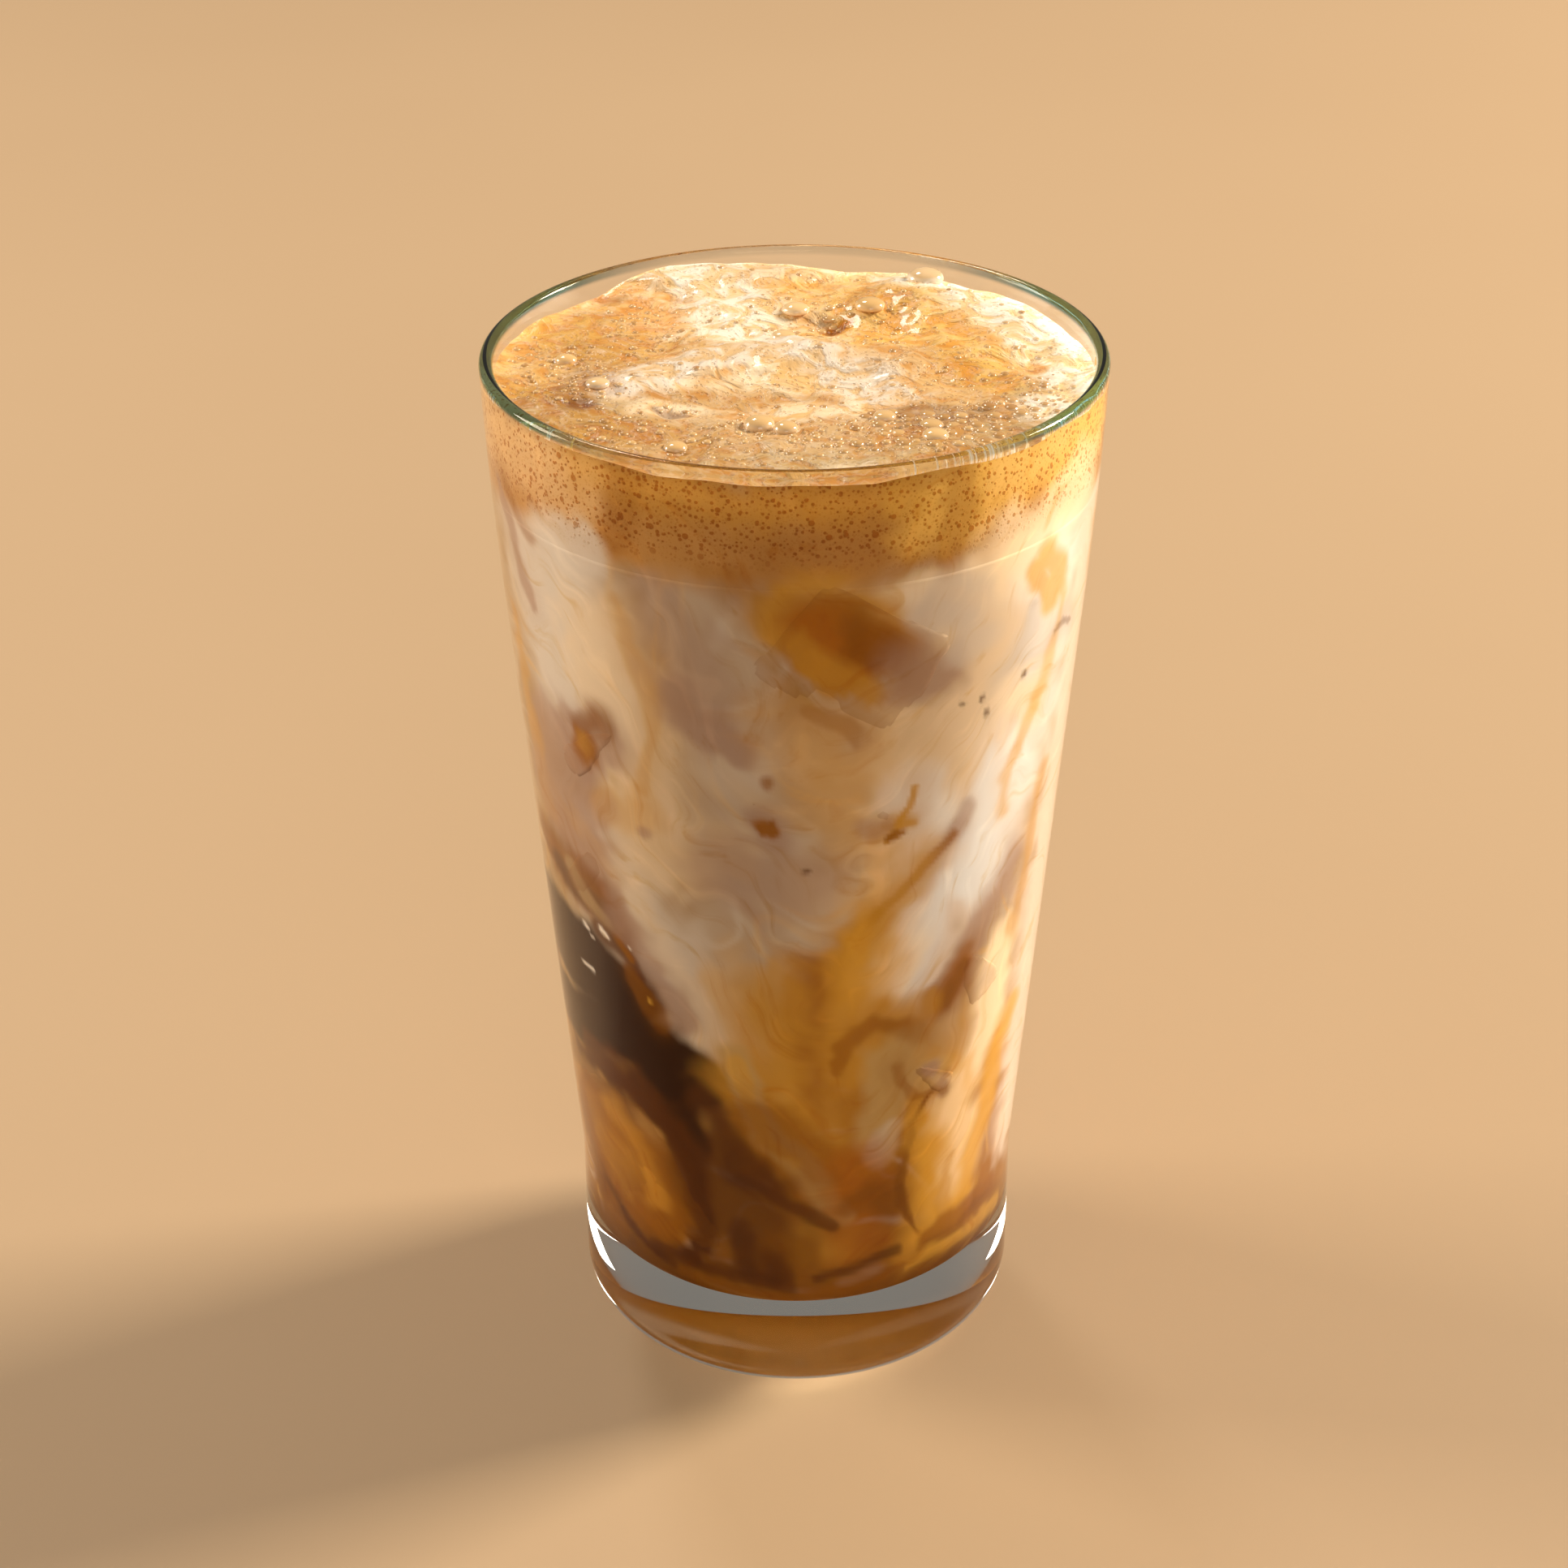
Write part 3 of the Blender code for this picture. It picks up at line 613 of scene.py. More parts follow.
def arc(center, radii, start, end, steps):
    """Points (radius, height) on an elliptical arc; angles in degrees from +X towards +Z."""
    angles = np.radians(np.linspace(start, end, steps + 1))
    return [(center[0] + radii[0] * math.cos(a), center[1] + radii[1] * math.sin(a)) for a in angles]


def straight(start, end, steps):
    """Points strictly between two ends."""
    shares = [i / steps for i in range(1, steps)]
    return [(start[0] + (end[0] - start[0]) * s, start[1] + (end[1] - start[1]) * s) for s in shares]


def easing_curve(foot, shoulder, rim):
    """Points after the shoulder, where the wall leaves its straight taper and stands up to the rim."""
    slope = (shoulder[0] - foot[0]) / (shoulder[1] - foot[1])
    rise = (rim[1] - shoulder[1]) / 3
    leave = Vector((shoulder[0] + slope * rise, shoulder[1] + rise, 0))
    meet = Vector((rim[0] - RIM_LEAN * slope * rise, rim[1] - rise, 0))
    curve = interpolate_bezier(Vector((*shoulder, 0)), leave, meet, Vector((*rim, 0)), FINE_STEPS + 1)
    return [(point.x, point.y) for point in curve[1:]]


def wall(foot, shoulder, rim):
    """A wall's profile from its foot up to the rim."""
    return [foot, *straight(foot, shoulder, WALL_STEPS), shoulder, *easing_curve(foot, shoulder, rim)]


def outer_wall():
    """The outer profile from the rim's widest ring down to the top of the foot."""
    rim = (RIM_RADIUS, GLASS_HEIGHT - RIM_THICKNESS / 2)
    return wall((FOOT_RADIUS, FOOT_HEIGHT), (SHOULDER_RADIUS, SHOULDER_HEIGHT), rim)[::-1]


def inner_corner(reach):
    """The arc between floor and wall, moved out into the glass by a reach."""
    shoulder = SHOULDER_RADIUS - SHOULDER_THICKNESS
    lean = (shoulder - FLOOR_RADIUS) / (SHOULDER_HEIGHT - FLOOR_HEIGHT)
    center = (FLOOR_RADIUS + CORNER_RADIUS * (lean - math.hypot(1, lean)), FLOOR_HEIGHT + CORNER_RADIUS)
    radius = CORNER_RADIUS + reach
    return arc(center, (radius, radius), -90, -math.degrees(math.atan(lean)), DRINK_CORNER_ROWS)


def inner_wall():
    """The inner profile from the top of the floor's corner up to the rim."""
    shoulder = (SHOULDER_RADIUS - SHOULDER_THICKNESS, SHOULDER_HEIGHT)
    rim = (RIM_RADIUS - RIM_THICKNESS, GLASS_HEIGHT - RIM_THICKNESS / 2)
    return wall(inner_corner(0.0)[-1], shoulder, rim)


INNER_WALL = np.array(inner_wall())


def inner_radius(height):
    """The radius of the glass's inside at a height above the floor's corner."""
    return np.interp(height, INNER_WALL[:, 1], INNER_WALL[:, 0])


def smooth(values, low, high):
    """0 below low, 1 above high, and a smooth rise between."""
    share = np.clip((values - low) / (high - low), 0.0, 1.0)
    return share * share * (3 - 2 * share)


def scatter_value(cells, seed):
    """A repeatable value from 0 to 1 for each row of whole numbers."""
    mixed = cells[:, 0] * 374761393 + cells[:, 1] * 668265263 + cells[:, 2] * 1103515245 + seed * 974711
    mixed = (mixed ^ (mixed >> 13)) * 1274126177
    return ((mixed ^ (mixed >> 16)) & 0xFFFF) / 0xFFFF


def clouds(points, size, seed):
    """Smooth noise from -1 to 1 at points (n, 3), in lumps about as large as size."""
    place = points / size + 531.7
    cell = np.floor(place).astype(np.int64)
    share = place - cell
    share = share * share * (3 - 2 * share)
    total = 0.0
    for corner in np.ndindex(2, 2, 2):
        weight = np.prod(np.where(corner, share, 1 - share), axis=1)
        total = total + weight * scatter_value(cell + np.array(corner), seed)
    return 2 * total - 1


def route_distance(across, along, route):
    """Distance from points to a route, and how far along it the nearest place is, from 0 to 1."""
    if len(route) == 1:
        return np.hypot(across - route[0][0], along - route[0][1]), np.full(len(across), 0.5)
    nearest = np.full(len(across), np.inf)
    place = np.zeros(len(across))
    for i, ((x0, y0), (x1, y1)) in enumerate(zip(route, route[1:])):
        length = (x1 - x0) ** 2 + (y1 - y0) ** 2
        share = np.clip(((across - x0) * (x1 - x0) + (along - y0) * (y1 - y0)) / length, 0, 1)
        away = np.hypot(across - x0 - share * (x1 - x0), along - y0 - share * (y1 - y0))
        closer = away < nearest
        nearest = np.where(closer, away, nearest)
        place = np.where(closer, (i + share) / (len(route) - 1), place)
    return nearest, place


def toward(colors, name, share):
    """Moves colours by a share, one for each of them, towards a colour of the brew."""
    return colors + (np.array(BREW[name]) - colors) * share[:, None]


def layered(points, layers):
    """Noise in mm from several layers, each with its height, size and seed."""
    return sum(height * clouds(points, size, seed) for height, size, seed in layers)


def painted(colors, across, along, stroke, wobble, wisps):
    """Lays a stroke over the colours: uneven in width, wispy at its edges, with a halo if it is thin."""
    name, width, softness, strength, *route = stroke
    away, place = route_distance(across, along, route)
    taper = 1.0 if width > BROAD_STROKE else 0.6 + 0.4 * np.sin(math.pi * place)
    half = width * taper * (1 + WIDTH_WOBBLE * wobble)
    soft = softness * (1 - SOFTNESS_WOBBLE * wobble)
    away = away + WISP_REACH * softness * wisps
    cover = strength * (1 - smooth(away, FULL_COVER * half, half + EDGE_REACH * soft))
    if width < THIN_STROKE and len(route) > 2:
        halo = HALO * strength * (1 - smooth(away, 0.0, HALO_REACH))
        cover = np.maximum(cover, halo)
    return toward(colors, name, cover)


def side_flow(points):
    """The drink's streaks: a vector that changes fast across them and slowly along them."""
    side = points[:, 0]
    height = points[:, 2]
    bowl = height - 1.5 * np.sqrt((side - 6.0) ** 2 + 60.0)
    across = bowl + layered(points, DRIFT)
    along = 0.28 * side + layered(points, SLIDE)
    return np.stack((across, along, 0.2 * points[:, 1] + 0.1 * height), axis=1)


def paint_underside(colors, points):
    """Lays the drink's underside, which shows through the glass's foot, over the colours."""
    away = np.hypot(points[:, 0], points[:, 1])
    share = smooth(away, *UNDERSIDE_RADII) * smooth(points[:, 2], *UNDERSIDE_HEIGHTS)
    colors = toward(colors, "toffee", share)
    return toward(colors, "milk", 0.4 * share * smooth(clouds(points, 7.0, 61), 0.1, 0.6))


def paint_side(points):
    """Colours for points (mm) on the drink's side."""
    warp = layered(points, WARP)
    degrees = np.degrees(np.arctan2(points[:, 0], -points[:, 1]))
    height = points[:, 2] + layered(points, LIFT)
    curls = points + CURLS * np.column_stack([clouds(points, CURL_SIZE, seed) for seed in CURL_SEEDS])
    broad = clouds(curls, 12.0, 7)
    fine = clouds(side_flow(points), 3.6, 8)
    wisps = 0.6 * fine + 0.5 * clouds(curls, 3.0, 10)
    low = height + 5.0 * broad + 3.0 * fine
    layers = (
        ("milk", 0.42 * smooth(broad, -0.1, 0.8)),
        ("milk", 0.26 * smooth(fine, 0.0, 0.9)),
        # greyish-pink painted shade where the fine streaks run dark
        ("mauve", 0.22 * smooth(-fine, 0.2, 0.9)),
        ("honey", 0.22 * smooth(clouds(curls, 6.0, 34), 0.2, 0.8)),
        ("gold", 0.75 * smooth(low, 72.0, 50.0)),
        ("amber", 0.85 * smooth(low, 54.0, 38.0)),
        ("caramel", 0.80 * smooth(low, 30.0, 16.0)),
    )
    colors = np.tile(np.array(BREW["tan"]), (len(points), 1))
    for name, share in layers:
        colors = toward(colors, name, share)
    for name, size, seed, width, strength in THREADS:
        line = 1 - np.abs(clouds(curls, size, seed))
        where = smooth(clouds(points, 11.0, seed + 1), -0.1, 0.5)
        colors = toward(colors, name, strength * where * smooth(line, 1 - width, 1.0))
    colors = paint_underside(colors, points)
    wobble = clouds(points, 5.0, 9)
    for name, width, softness, strength, *places in SWIRLS:
        middle = sum(angle for angle, _ in places) / len(places)
        turned_by = (degrees - middle + 180) % 360 - 180
        across = np.radians(turned_by) * MEAN_RADIUS + warp
        route = [(math.radians(angle - middle) * MEAN_RADIUS, level) for angle, level in places]
        stroke = (name, width, softness, strength, *route)
        colors = painted(colors, across, height, stroke, wobble, wisps)
    return colors


def store(mesh, name, kind, values):
    """Keeps a value for each point of a mesh."""
    attribute = mesh.attributes.new(name, kind, "POINT")
    field = {"FLOAT": "value", "FLOAT_VECTOR": "vector", "FLOAT_COLOR": "color"}[kind]
    attribute.data.foreach_set(field, np.asarray(values, dtype=np.float32).ravel())


def store_colors(mesh, name, colors):
    store(mesh, name, "FLOAT_COLOR", np.column_stack((colors, np.ones(len(colors)))))


def store_side(mesh, points, colors=None):
    """Paints the side's colours, or those given, with streaks and froth on a mesh by its points (mm)."""
    if colors is None:
        colors = paint_side(points)
    store_colors(mesh, "brew", colors)
    store(mesh, "flow", "FLOAT_VECTOR", side_flow(points))
    level = points[:, 2] + 1.2 * clouds(points, 7.0, 12)
    store(mesh, "froth", "FLOAT", smooth(level, *FROTH_LEVELS))


def outward_at(angle):
    """The unit direction away from the axis, at an angle from the front."""
    return np.array((math.sin(angle), -math.cos(angle), 0.0))


def add_piece(name, points, faces, materials):
    mesh = bpy.data.meshes.new(name)
    mesh.from_pydata(points, [], faces)
    for material in materials:
        mesh.materials.append(material)
    piece = bpy.data.objects.new(name, mesh)
    bpy.context.scene.collection.objects.link(piece)
    mesh.shade_smooth()
    mesh.set_sharp_from_angle(angle=SHARP_ANGLE)
    return piece


def around(segments, crowding=0.0):
    """Unit directions from the front towards the viewer's right, closer at the front if crowded."""
    angles = np.arange(segments) * math.tau / segments
    angles = angles - crowding * np.sin(angles)
    return np.stack((np.sin(angles), -np.cos(angles)), axis=1)


def ring_faces(first, second, count):
    """Quads between two rings of points, given by the numbers of their first points."""
    pairs = [(i, (i + 1) % count) for i in range(count)]
    return [(first + i, second + i, second + after, first + after) for i, after in pairs]


def turned(name, profile, segments, material, crowding=0.0):
    """A closed body turned about Z from a profile that starts and ends on the axis."""
    rings = np.array(profile[1:-1])
    flat = rings[:, None, :1] * around(segments, crowding)[None]
    height = np.broadcast_to(rings[:, None, 1:], (len(rings), segments, 1))
    body = np.concatenate((flat, height), axis=2).reshape(-1, 3)
    points = [(0, 0, profile[0][1]), *body.tolist(), (0, 0, profile[-1][1])]
    last = len(points) - 1
    faces = [(0, 1 + i, 1 + (i + 1) % segments) for i in range(segments)]
    for ring in range(len(rings) - 1):
        faces += ring_faces(1 + ring * segments, 1 + (ring + 1) * segments, segments)
    start = last - segments
    faces += [(last, start + (i + 1) % segments, start + i) for i in range(segments)]
    return add_piece(name, points, faces, [material])


def glass_profile():
    """From the middle of the floor, up the inside, over the rim, down the outside and under the foot."""
    lip_center = (RIM_RADIUS - RIM_THICKNESS / 2, GLASS_HEIGHT - RIM_THICKNESS / 2)
    lip = arc(lip_center, (RIM_THICKNESS / 2, RIM_THICKNESS / 2), 180, 0, FINE_STEPS)
    heel_size = (FOOT_RADIUS - CONTACT_RADIUS, HEEL_HEIGHT)
    heel = arc((CONTACT_RADIUS, HEEL_HEIGHT), heel_size, 0, -90, FINE_STEPS)
    recess = []
    for i in range(FINE_STEPS):
        share = 1 - i / FINE_STEPS
        recess.append((RECESS_RADIUS * share, RECESS_DEPTH * (1 - share * share)))
    floor = (0, FLOOR_HEIGHT)
    inside = inner_corner(0.0) + inner_wall()[1:-1]
    return [floor, *inside, *lip, *outer_wall()[1:], *heel, *recess, (0, RECESS_DEPTH)]


def drink_profile():
    """From the middle of the drink's top, out into the wall, down it and round to the floor's middle."""
    corner = inner_corner(INTO_WALL)
    heights = np.linspace(FOAM_BOTTOM, corner[-1][1], DRINK_ROWS, endpoint=False)
    side = [(inner_radius(height) + INTO_WALL, height) for height in heights]
    lap = (side[0][0] - LAP, FOAM_BOTTOM + LAP)
    return [(0, FOAM_BOTTOM + LAP), lap, *side, *corner[::-1], (0, corner[0][1])]


def foam_rise(x, y):
    """How far the foam's top stands over its level, in mm: swells, ripples, pits and domed bubbles."""
    rise = np.zeros(len(x))
    for start, end, width, height in FOAM_SWELLS.values():
        away = route_distance(x, y, (start, end))[0]
        rise += height * np.exp(-((away / width) ** 2))
    to_wall = np.maximum(inner_radius(FOAM_LEVEL) / MM - np.hypot(x, y), 0)
    for length, height in FOAM_RIPPLES:
        places = zip(x / length, y / length)
        calm = smooth(to_wall, 0.0, CALM_WIDTH) if length < SHORT_RIPPLE else 1.0
        rise += calm * height * np.array([noise.noise(Vector((u, v, length))) for u, v in places])
    for pit_x, pit_y, radius, depth in FOAM_PITS:
        rise -= depth * np.exp(-((np.hypot(x - pit_x, y - pit_y) / radius) ** 2))
    for bubble_x, bubble_y, radius in FOAM_BUBBLES:
        away = np.hypot(x - bubble_x, y - bubble_y) / radius
        rise += BUBBLE_RISE * radius * np.sqrt(np.clip(1 - away * away, 0, None))
    front = smooth(-y, *CLING_FRONT)
    return rise + CLING_HEIGHT * front * np.exp(-to_wall / CLING_WIDTH)


def foam_top_colors(x, y):
    """Colours for points (mm) on the foam's top: marbled cream with patches and a golden front shore."""
    flat = np.column_stack((x, y, np.zeros(len(x))))
    colors = np.tile(np.array(BREW["cream"]), (len(x), 1))
    turn = 3.0 * clouds(flat, 9.0, 23)
    lift = 3.0 * clouds(flat, 9.0, 24)
    swirl = np.column_stack((x + turn, y * 1.6 + lift, np.zeros(len(x))))
    wisps = clouds(swirl, 2.6, 22)
    share = smooth(clouds(swirl, 6.0, 21) + 0.5 * wisps, -0.3, 0.7)
    colors = toward(colors, "biscuit", 0.55 * share)
    wobble = clouds(flat, 3.5, 25)
    for stroke in FOAM_PATCHES:
        colors = painted(colors, x + 0.4 * turn, y + 0.4 * lift, stroke, wobble, wisps)
    to_wall = inner_radius(FOAM_LEVEL) / MM - np.hypot(x, y) + 0.5 * turn
    shore = smooth(-y, *SHORE_FRONT) * smooth(to_wall, *SHORE_FROM_WALL)
    return toward(colors, "gold", 0.80 * shore)


def bubbliness(x, y):
    """The share of places that bubbles take and their largest radius (mm), for points on the foam."""
    share = np.full(len(x), STRAY_SHARE)
    largest = np.full(len(x), STRAY_RADIUS)
    for crowd, radius, width, softness, *route in BUBBLY:
        near = 1 - smooth(route_distance(x, y, route)[0], width, width + softness)
        share = np.maximum(share, crowd * near)
        largest = np.maximum(largest, radius * near)
    return share, largest


def scatter_bubbles():
    """Bubbles as (x, y, radius) in mm that don't overlap, the large named ones first."""
    draw = np.random.default_rng(BUBBLE_SEED)
    reach = float(inner_radius(FOAM_LEVEL)) / MM - WALL_MARGIN
    distance = reach * np.sqrt(draw.random(BUBBLE_TRIES))
    angle = math.tau * draw.random(BUBBLE_TRIES)
    x = distance * np.cos(angle)
    y = distance * np.sin(angle)
    share, largest = bubbliness(x, y)
    radius = SMALLEST_BUBBLE + (largest - SMALLEST_BUBBLE) * draw.random(BUBBLE_TRIES)
    taken = draw.random(BUBBLE_TRIES) < share
    tries = np.column_stack((x, y, radius))[taken]
    tries = tries[np.argsort(-tries[:, 2])]
    count = len(FOAM_BUBBLES)
    kept = np.zeros((len(tries) + count, 3))
    kept[:count] = FOAM_BUBBLES
    for bubble in tries:
        gap = np.hypot(kept[:count, 0] - bubble[0], kept[:count, 1] - bubble[1]) - kept[:count, 2]
        if gap.min() > bubble[2] * BUBBLE_SPACING:
            kept[count] = bubble
            count += 1
    return kept[:count]


def drawn(draw, least, spread):
    """A random value between least and least + spread."""
    return least + spread * draw.random()


def add_copy(points, faces, placed, shape_faces):
    """Adds a shape's placed points, and its faces, to those of a body."""
    start = len(points)
    points.extend(placed.tolist())
    faces.extend(tuple(start + corner for corner in face) for face in shape_faces)


def dome(rings, segments):
    """Points and faces of a unit ball's cap that reaches a little below z = 0."""
    points = [(0.0, 0.0, 1.0)]
    faces = []
    for ring in range(1, rings + 1):
        tilt = CAP_SPREAD * ring / rings
        radius = math.sin(tilt)
        for i in range(segments):
            angle = math.tau * i / segments
            points.append((radius * math.cos(angle), radius * math.sin(angle), math.cos(tilt)))
    for i in range(segments):
        faces.append((0, 1 + i, 1 + (i + 1) % segments))
    for ring in range(rings - 1):
        faces += ring_faces(1 + ring * segments, 1 + (ring + 1) * segments, segments)
    faces.append(tuple(len(points) - 1 - i for i in range(segments)))
    return np.array(points), faces


def make_bubbles(finish):
    """Thin-walled bubbles that stand out of the foam's top."""
    draw = np.random.default_rng(BUBBLE_SEED + 1)
    bubbles = scatter_bubbles()
    levels = foam_rise(bubbles[:, 0], bubbles[:, 1])
    fine = dome(*FINE_CAP)
    plain = dome(*PLAIN_CAP)
    points = []
    faces = []
    tones = []
    heights = []
    for (x, y, radius), level in zip(bubbles, levels):
        shape, shape_faces = fine if radius > FINE_RADIUS else plain
        tone = drawn(draw, *(LARGE_TONE if radius > LARGE_RADIUS else SMALL_TONE))
        size = (radius, radius, radius * drawn(draw, *FLATNESS))
        place = (x, y, FOAM_LEVEL / MM + level - SUNK * radius)
        add_copy(points, faces, (shape * size + place) * MM, shape_faces)
        tones += [tone] * len(shape)
        heights += shape[:, 2].tolist()
    piece = add_piece("foam_bubbles", points, faces, [finish])
    store(piece.data, "tone", "FLOAT", tones)
    store(piece.data, "dome", "FLOAT", heights)
    body = np.array(points) / MM
    store_colors(piece.data, "top", foam_top_colors(body[:, 0], body[:, 1]))
    return piece


def rounded_cube(steps):
    """Points and faces of a cube of half size 1 with rounded edges."""
    places = np.linspace(-1, 1, steps + 1)
    points = []
    faces = []
    for axis in range(3):
        for sign in (-1, 1):
            start = len(points)
            for u in places:
                for v in places:
                    corner = [0.0, 0.0, 0.0]
                    corner[axis] = sign
                    corner[(axis + 1) % 3] = u
                    corner[(axis + 2) % 3] = v
                    points.append(corner)
            for i in range(steps):
                for j in range(steps):
                    low = start + i * (steps + 1) + j
                    face = (low, low + steps + 1, low + steps + 2, low + 1)
                    faces.append(face if sign > 0 else face[::-1])
    points = np.array(points)
    size = np.sum(np.abs(points) ** ICE_SQUARENESS, axis=1) ** (1 / ICE_SQUARENESS)
    return points / size[:, None], faces


def make_ice(finish):
    """Melting cubes in the drink; what would stand past the wall is pressed flat against it."""
    shape, shape_faces = rounded_cube(ICE_STEPS)
    points = []
    faces = []
    tints = []
    shade_place, shade_width, shade_strength = ICE_EDGE_SHADE
    for degrees, height, press, half, turns, name, strength in ICE:
        turn = np.array(Euler([math.radians(each) for each in turns]).to_matrix())
        cube = (shape * half) @ turn.T
        cube = cube * (1 + ICE_UNEVENNESS * clouds(cube, 4.0, 51))[:, None]
        outward = outward_at(math.radians(degrees))
        wall_radius = float(inner_radius(height * MM)) / MM
        reach = (cube @ outward).max()
        placed = cube + outward * (wall_radius + press - reach) + (0, 0, height)
        limit = (inner_radius(placed[:, 2] * MM) + INTO_WALL) / MM + ICE_STANDS_OUT
        away = np.hypot(placed[:, 0], placed[:, 1])
        over = away - limit
        placed[:, :2] *= np.minimum(1, limit / away)[:, None]
        add_copy(points, faces, placed, shape_faces)
        share = strength * smooth(over, 0.0, ICE_FULL_TINT)
        # painted shade in a line along the ice's edge
        edge = shade_strength * np.exp(-((over - shade_place) / shade_width) ** 2)
        tints += [(*BREW[name], *both) for both in zip(share, edge)]
    body = np.array(points)
    piece = add_piece("ice_cubes", (body * MM).tolist(), faces, [finish])
    tints = np.array(tints)
    colors = paint_side(body)
    colors = colors + (tints[:, :3] - colors) * tints[:, 3:4]
    store_side(piece.data, body, toward(colors, "caramel", tints[:, 4]))
    return piece


def make_lace(finish):
    """Thin streaks of foam left on the inner wall, just over the foam."""
    draw = np.random.default_rng(BUBBLE_SEED + 2)
    shape, shape_faces = dome(*PLAIN_CAP)
    points = []
    faces = []
    tones = []
    for first, last, count in LACE:
        for _ in range(count):
            angle = math.radians(drawn(draw, first, last - first))
            height = drawn(draw, *LACE_LEVEL)
            half = (drawn(draw, *LACE_WIDTH), drawn(draw, *LACE_LENGTH), LACE_DEPTH)
            outward = outward_at(angle)
            tangent = np.array((math.cos(angle), math.sin(angle), 0.0))
            axes = np.array((tangent, (0.0, 0.0, 1.0), -outward))
            middle = outward * float(inner_radius(height * MM)) / MM + (0, 0, height)
            add_copy(points, faces, ((shape * half) @ axes + middle) * MM, shape_faces)
            tones += [draw.random()] * len(shape)
    piece = add_piece("foam_lace", points, faces, [finish])
    store_colors(piece.data, "top", toward(np.array(BREW["apricot"]), "white", np.array(tones)))
    return piece


def make_foam(top_finish, side_finish):
    """The head of foam: a lumpy top of hexagonal rings, a side in the wall and a flat underside."""
    reach = float(inner_radius(FOAM_LEVEL)) + INTO_WALL
    points = [(0.0, 0.0, 0.0)]
    starts = [0]
    for ring in range(1, FOAM_RINGS + 1):
        starts.append(len(points))
        circle = around(SECTORS * ring) * reach * ring / FOAM_RINGS
        points += [(x, y, 0.0) for x, y in circle.tolist()]
    top = np.array(points)
    top[:, 2] = FOAM_LEVEL + foam_rise(top[:, 0] / MM, top[:, 1] / MM) * MM
    rim = starts[-1]
    edge = top[rim:]
    outward = edge[:, :2] / np.linalg.norm(edge[:, :2], axis=1)[:, None]
    edge[:, :2] = outward * (inner_radius(edge[:, 2]) + INTO_WALL)[:, None]
    rows = []
    for step in range(1, FOAM_SIDE_ROWS + 1):
        height = edge[:, 2] + (FOAM_BOTTOM - edge[:, 2]) * step / FOAM_SIDE_ROWS
        rows.append(np.column_stack((outward * (inner_radius(height) + INTO_WALL)[:, None], height)))
    body = np.vstack((top, *rows))
    faces = []
    for ring in range(1, FOAM_RINGS + 1):
        inner_count = max(SECTORS * (ring - 1), 1)
        outer_count = SECTORS * ring
        inner = starts[ring - 1]
        outer = starts[ring]
        for sector in range(SECTORS):
            for i in range(ring):
                low = outer + sector * ring + i
                high = outer + (sector * ring + i + 1) % outer_count
                near = inner + (sector * (ring - 1) + i) % inner_count
                faces.append((low, high, near))
                if i < ring - 1:
                    after = inner + (sector * (ring - 1) + i + 1) % inner_count
                    faces.append((near, high, after))
    top_faces = len(faces)
    count = len(edge)
    for step in range(FOAM_SIDE_ROWS):
        first = rim + step * count
        faces += ring_faces(first, first + count, count)
    faces.append(tuple(rim + FOAM_SIDE_ROWS * count + i for i in range(count))[::-1])
    piece = add_piece("coffee_foam_head", body.tolist(), faces, [top_finish, side_finish])
    slots = np.ones(len(faces), dtype=np.int32)
    slots[:top_faces] = 0
    piece.data.polygons.foreach_set("material_index", slots)
    store_side(piece.data, body / MM)
    store_colors(piece.data, "top", foam_top_colors(body[:, 0] / MM, body[:, 1] / MM))
    return piece


def clear_glass():
    """Clear glass, dark green in its lip's sides: its own green and painted shade; lamps shine through it
    to the drink.
    """
    finish = Finish("clear_glass")
    place = finish.place()
    height = finish.node("ShaderNodeSeparateXYZ", sockets={"Vector": place}, output=2)
    across = finish.node("ShaderNodeSeparateXYZ", sockets={"Vector": place})
    lip = finish.step(height, GLASS_HEIGHT - RIM_THICKNESS * 0.75, GLASS_HEIGHT - RIM_THICKNESS * 0.4)
    side = finish.step(abs(across), RIM_RADIUS * 0.35, RIM_RADIUS * 0.8)
    tint = finish.blend(lip * (0.3 + 0.7 * side), (1.0, 1.0, 1.0), LIP_TINT_AND_SHADE)
    sockets = {"Base Color": tint, "Roughness": 0.0, "IOR": 1.5, "Specular Tint": GLASS_GLOSS}
    glass = finish.surface({**sockets, "Transmission Weight": 1.0})
    lamps = finish.node("ShaderNodeLightPath", output=1)
    through = finish.node("ShaderNodeBsdfTransparent", sockets={"Color": (0.95, 0.96, 0.95)})
    both = finish.node("ShaderNodeMixShader", sockets={0: lamps, 1: glass, 2: through})
    green = {"Color": (0.45, 0.74, 0.58), "Density": 1.5}
    return finish.show(both, finish.node("ShaderNodeVolumeAbsorption", sockets=green))


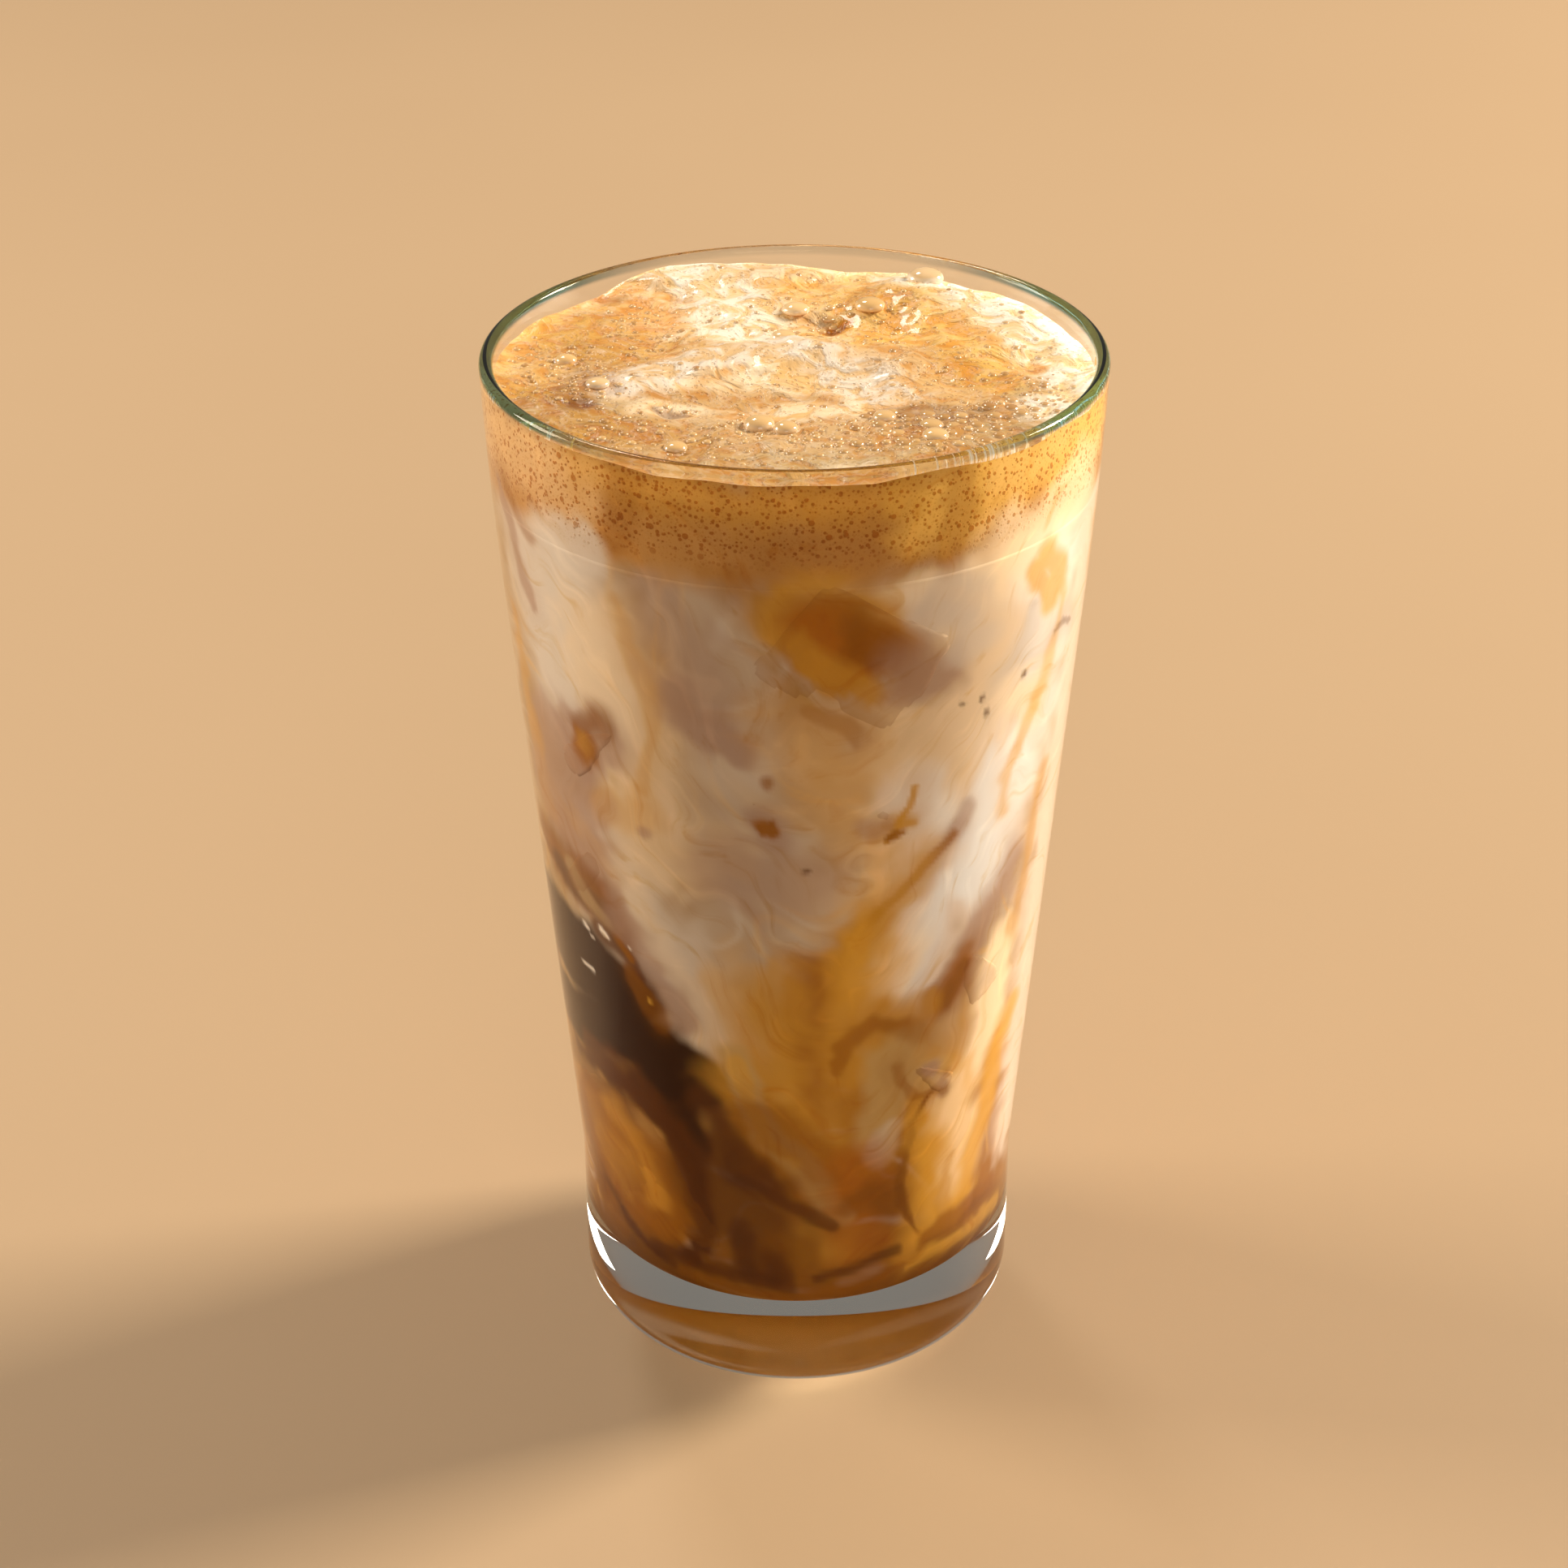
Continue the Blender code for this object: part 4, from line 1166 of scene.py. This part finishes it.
def swirled_coffee():
    """Coffee and milk seen through the glass, with fine streaks, and small bubbles where it froths."""
    finish = Finish("swirled_coffee")
    brew = finish.stored("brew", output=0)
    flow = finish.stored("flow", output=1)
    place = finish.place()
    pale = finish.step(finish.clouds(flow, 0.28, detail=4.0), 0.50, 0.85)
    color = finish.blend(pale, brew, (1.18, 1.18, 1.16), "MULTIPLY")
    dark = finish.step(finish.clouds(flow, 0.40, detail=5.0), 0.53, 0.78)
    color = finish.blend(dark, color, (0.90, 0.78, 0.58), "MULTIPLY")
    froth = finish.stored("froth")
    grain = finish.dots(place, 2400.0, 0.50, 0.25)
    small = finish.dots(place, 1500.0, 0.52, 0.32)
    large = finish.dots(place, 520.0, 0.30, 0.30)
    bubbles = small.larger(large) * froth
    color = finish.blend(grain * froth * 0.5, color, (0.80, 0.66, 0.46), "MULTIPLY")
    color = finish.blend(bubbles * 0.80, color, (0.62, 0.36, 0.12), "MULTIPLY")
    normal = finish.bump(bubbles, 0.5, 0.0002)
    matt = {"Roughness": 0.6, "Specular IOR Level": 0.0}
    return finish.show(finish.surface({"Base Color": color, "Normal": normal, **matt}))


def foam_top():
    """Wet foam seen from above, full of tiny bubbles."""
    finish = Finish("foam_top")
    place = finish.place()
    tone = finish.stored("top", output=0)
    small = finish.dots(place, 1300.0, 0.46, 0.30)
    fine = finish.dots(place, 2800.0, 0.50, 0.30)
    curds = finish.clouds(place, 230.0, detail=4.0, distortion=1.2)
    folds = finish.clouds(place, 120.0, distortion=2.0)
    veins = finish.step(abs(folds - 0.5), 0.05, 0.0)
    pools = finish.step(curds, 0.56, 0.40)
    color = finish.blend(pools * 0.85, tone, (0.88, 0.64, 0.30), "MULTIPLY")
    color = finish.blend(veins * 0.14, color, BREW["white"])
    color = finish.blend(small * 0.32, color, (0.82, 0.56, 0.26), "MULTIPLY")
    color = finish.blend(fine * 0.22, color, (0.90, 0.72, 0.46), "MULTIPLY")
    normal = finish.bump(curds * 1.4 - small * 0.15, 0.9, 0.0010)
    wet = {"Roughness": 0.32, "Coat Weight": 0.35, "Coat Roughness": 0.05}
    return finish.show(finish.surface({"Base Color": color, "Normal": normal, **wet}))


def bubble_film():
    """A bubble: a pale ring at its foot and amber coffee in its middle, with a hard gloss."""
    finish = Finish("bubble_film")
    tone = finish.stored("tone")
    top = finish.stored("top", output=0)
    heart = finish.blend(tone, (0.24, 0.065, 0.004), (0.88, 0.54, 0.19))
    middle = finish.step(finish.stored("dome"), 0.35, 0.62)
    foot = finish.blend(tone, (0.46, 0.22, 0.045), BREW["cream"])
    color = finish.blend(middle * (1.05 - 0.50 * tone), finish.blend(0.5, top, foot), heart)
    return finish.show(finish.surface({"Base Color": color, "Roughness": 0.05, "Coat Weight": 0.6}))


def wet_lace():
    """Wet foam in its stored colour."""
    finish = Finish("wet_lace")
    color = finish.stored("top", output=0)
    return finish.show(finish.surface({"Base Color": color, "Roughness": 0.15, "Coat Weight": 0.5}))


def pale_floor():
    """A warm, pale table top with hardly any pattern."""
    finish = Finish("pale_floor")
    tone = finish.clouds(finish.place(), 3.0)
    color = finish.blend(tone, (0.42, 0.275, 0.15), (0.46, 0.31, 0.175))
    return finish.show(finish.surface({"Base Color": color, "Roughness": 0.6}))


# The camera, found from the glass's outline: its focal length in pixels of a picture 1932 wide, its place
# and its turns
PICTURE_WIDTH = 1932
FOCAL_PIXELS = 3800
CAMERA_DISTANCE = 0.3826
CAMERA_HEIGHT = 0.2973
CAMERA_PITCH = math.radians(29.11)
CAMERA_YAW = math.radians(-0.243)
CAMERA_ROLL = math.radians(-0.257)
SENSOR_WIDTH = 36.0

FLOOR_SIZE = 6.0
WARM_LIGHT = (1.0, 0.92, 0.80)


def add_camera():
    level = math.cos(CAMERA_PITCH)
    side = math.sin(CAMERA_YAW)
    ahead = math.cos(CAMERA_YAW)
    forward = Vector((side * level, ahead * level, -math.sin(CAMERA_PITCH)))
    right = Vector((ahead, -side, 0))
    up = right.cross(forward)
    rolled_right = right * math.cos(CAMERA_ROLL) + up * math.sin(CAMERA_ROLL)
    rolled_up = up * math.cos(CAMERA_ROLL) - right * math.sin(CAMERA_ROLL)
    lens = bpy.data.cameras.new("camera")
    lens.sensor_width = SENSOR_WIDTH
    lens.lens = SENSOR_WIDTH * FOCAL_PIXELS / PICTURE_WIDTH
    lens.clip_start = MM
    camera = bpy.data.objects.new("camera", lens)
    placed = Matrix((rolled_right, rolled_up, -forward)).transposed().to_4x4()
    placed.translation = Vector((0, -CAMERA_DISTANCE, CAMERA_HEIGHT))
    camera.matrix_world = placed
    bpy.context.scene.collection.objects.link(camera)
    bpy.context.scene.camera = camera


def add_lamp(name, place, size, watts, color):
    """A square soft lamp that faces the middle of the glass."""
    light = bpy.data.lights.new(name, "AREA")
    light.size = size
    light.energy = watts
    light.color = color
    lamp = bpy.data.objects.new(name, light)
    lamp.location = place
    towards = Vector((0, 0, GLASS_HEIGHT / 2)) - lamp.location
    lamp.rotation_euler = towards.to_track_quat("-Z", "Y").to_euler()
    bpy.context.scene.collection.objects.link(lamp)


def light_studio():
    world = bpy.data.worlds.new("soft room")
    world.use_nodes = True
    background = world.node_tree.nodes["Background"]
    background.inputs["Color"].default_value = (1.0, 0.92, 0.82, 1.0)
    background.inputs["Strength"].default_value = 0.20
    bpy.context.scene.world = world
    add_lamp("key, right and behind", (1.5, 0.65, 1.10), 0.5, 56.0, WARM_LIGHT)
    add_lamp("left, behind", (-1.3, 0.35, 0.75), 0.6, 19.0, WARM_LIGHT)
    add_lamp("low, in front", (0.25, -1.6, 0.75), 0.9, 7.5, (1.0, 0.93, 0.84))
    add_lamp("sparkle, behind", (-0.45, 1.2, 1.5), 0.3, 6.0, (1.0, 0.96, 0.90))
    bpy.context.scene.view_settings.view_transform = "Standard"


def add_floor(material):
    half = FLOOR_SIZE / 2
    corners = [(-half, -half, 0), (half, -half, 0), (half, half, 0), (-half, half, 0)]
    floor = add_piece("floor", corners, [(0, 1, 2, 3)], [material])


def dress():
    coffee = swirled_coffee()
    tumbler = turned("tumbler", glass_profile(), GLASS_SEGMENTS, clear_glass())
    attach(tumbler, "root")
    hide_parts("glass")
    drink = turned("swirled_drink", drink_profile(), DRINK_SEGMENTS, coffee, FRONT_CROWDING)
    points = np.array([vertex.co for vertex in drink.data.vertices]) / MM
    store_side(drink.data, points)
    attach(drink, "root")
    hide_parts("drink")
    ice = make_ice(coffee)
    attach(ice, "root")
    foam = make_foam(foam_top(), coffee)
    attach(foam, "root")
    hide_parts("foam")
    bubbles = make_bubbles(bubble_film())
    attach(bubbles, "root")
    lace = make_lace(wet_lace())
    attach(lace, "root")


add_camera()
light_studio()
add_floor(pale_floor())
dress()
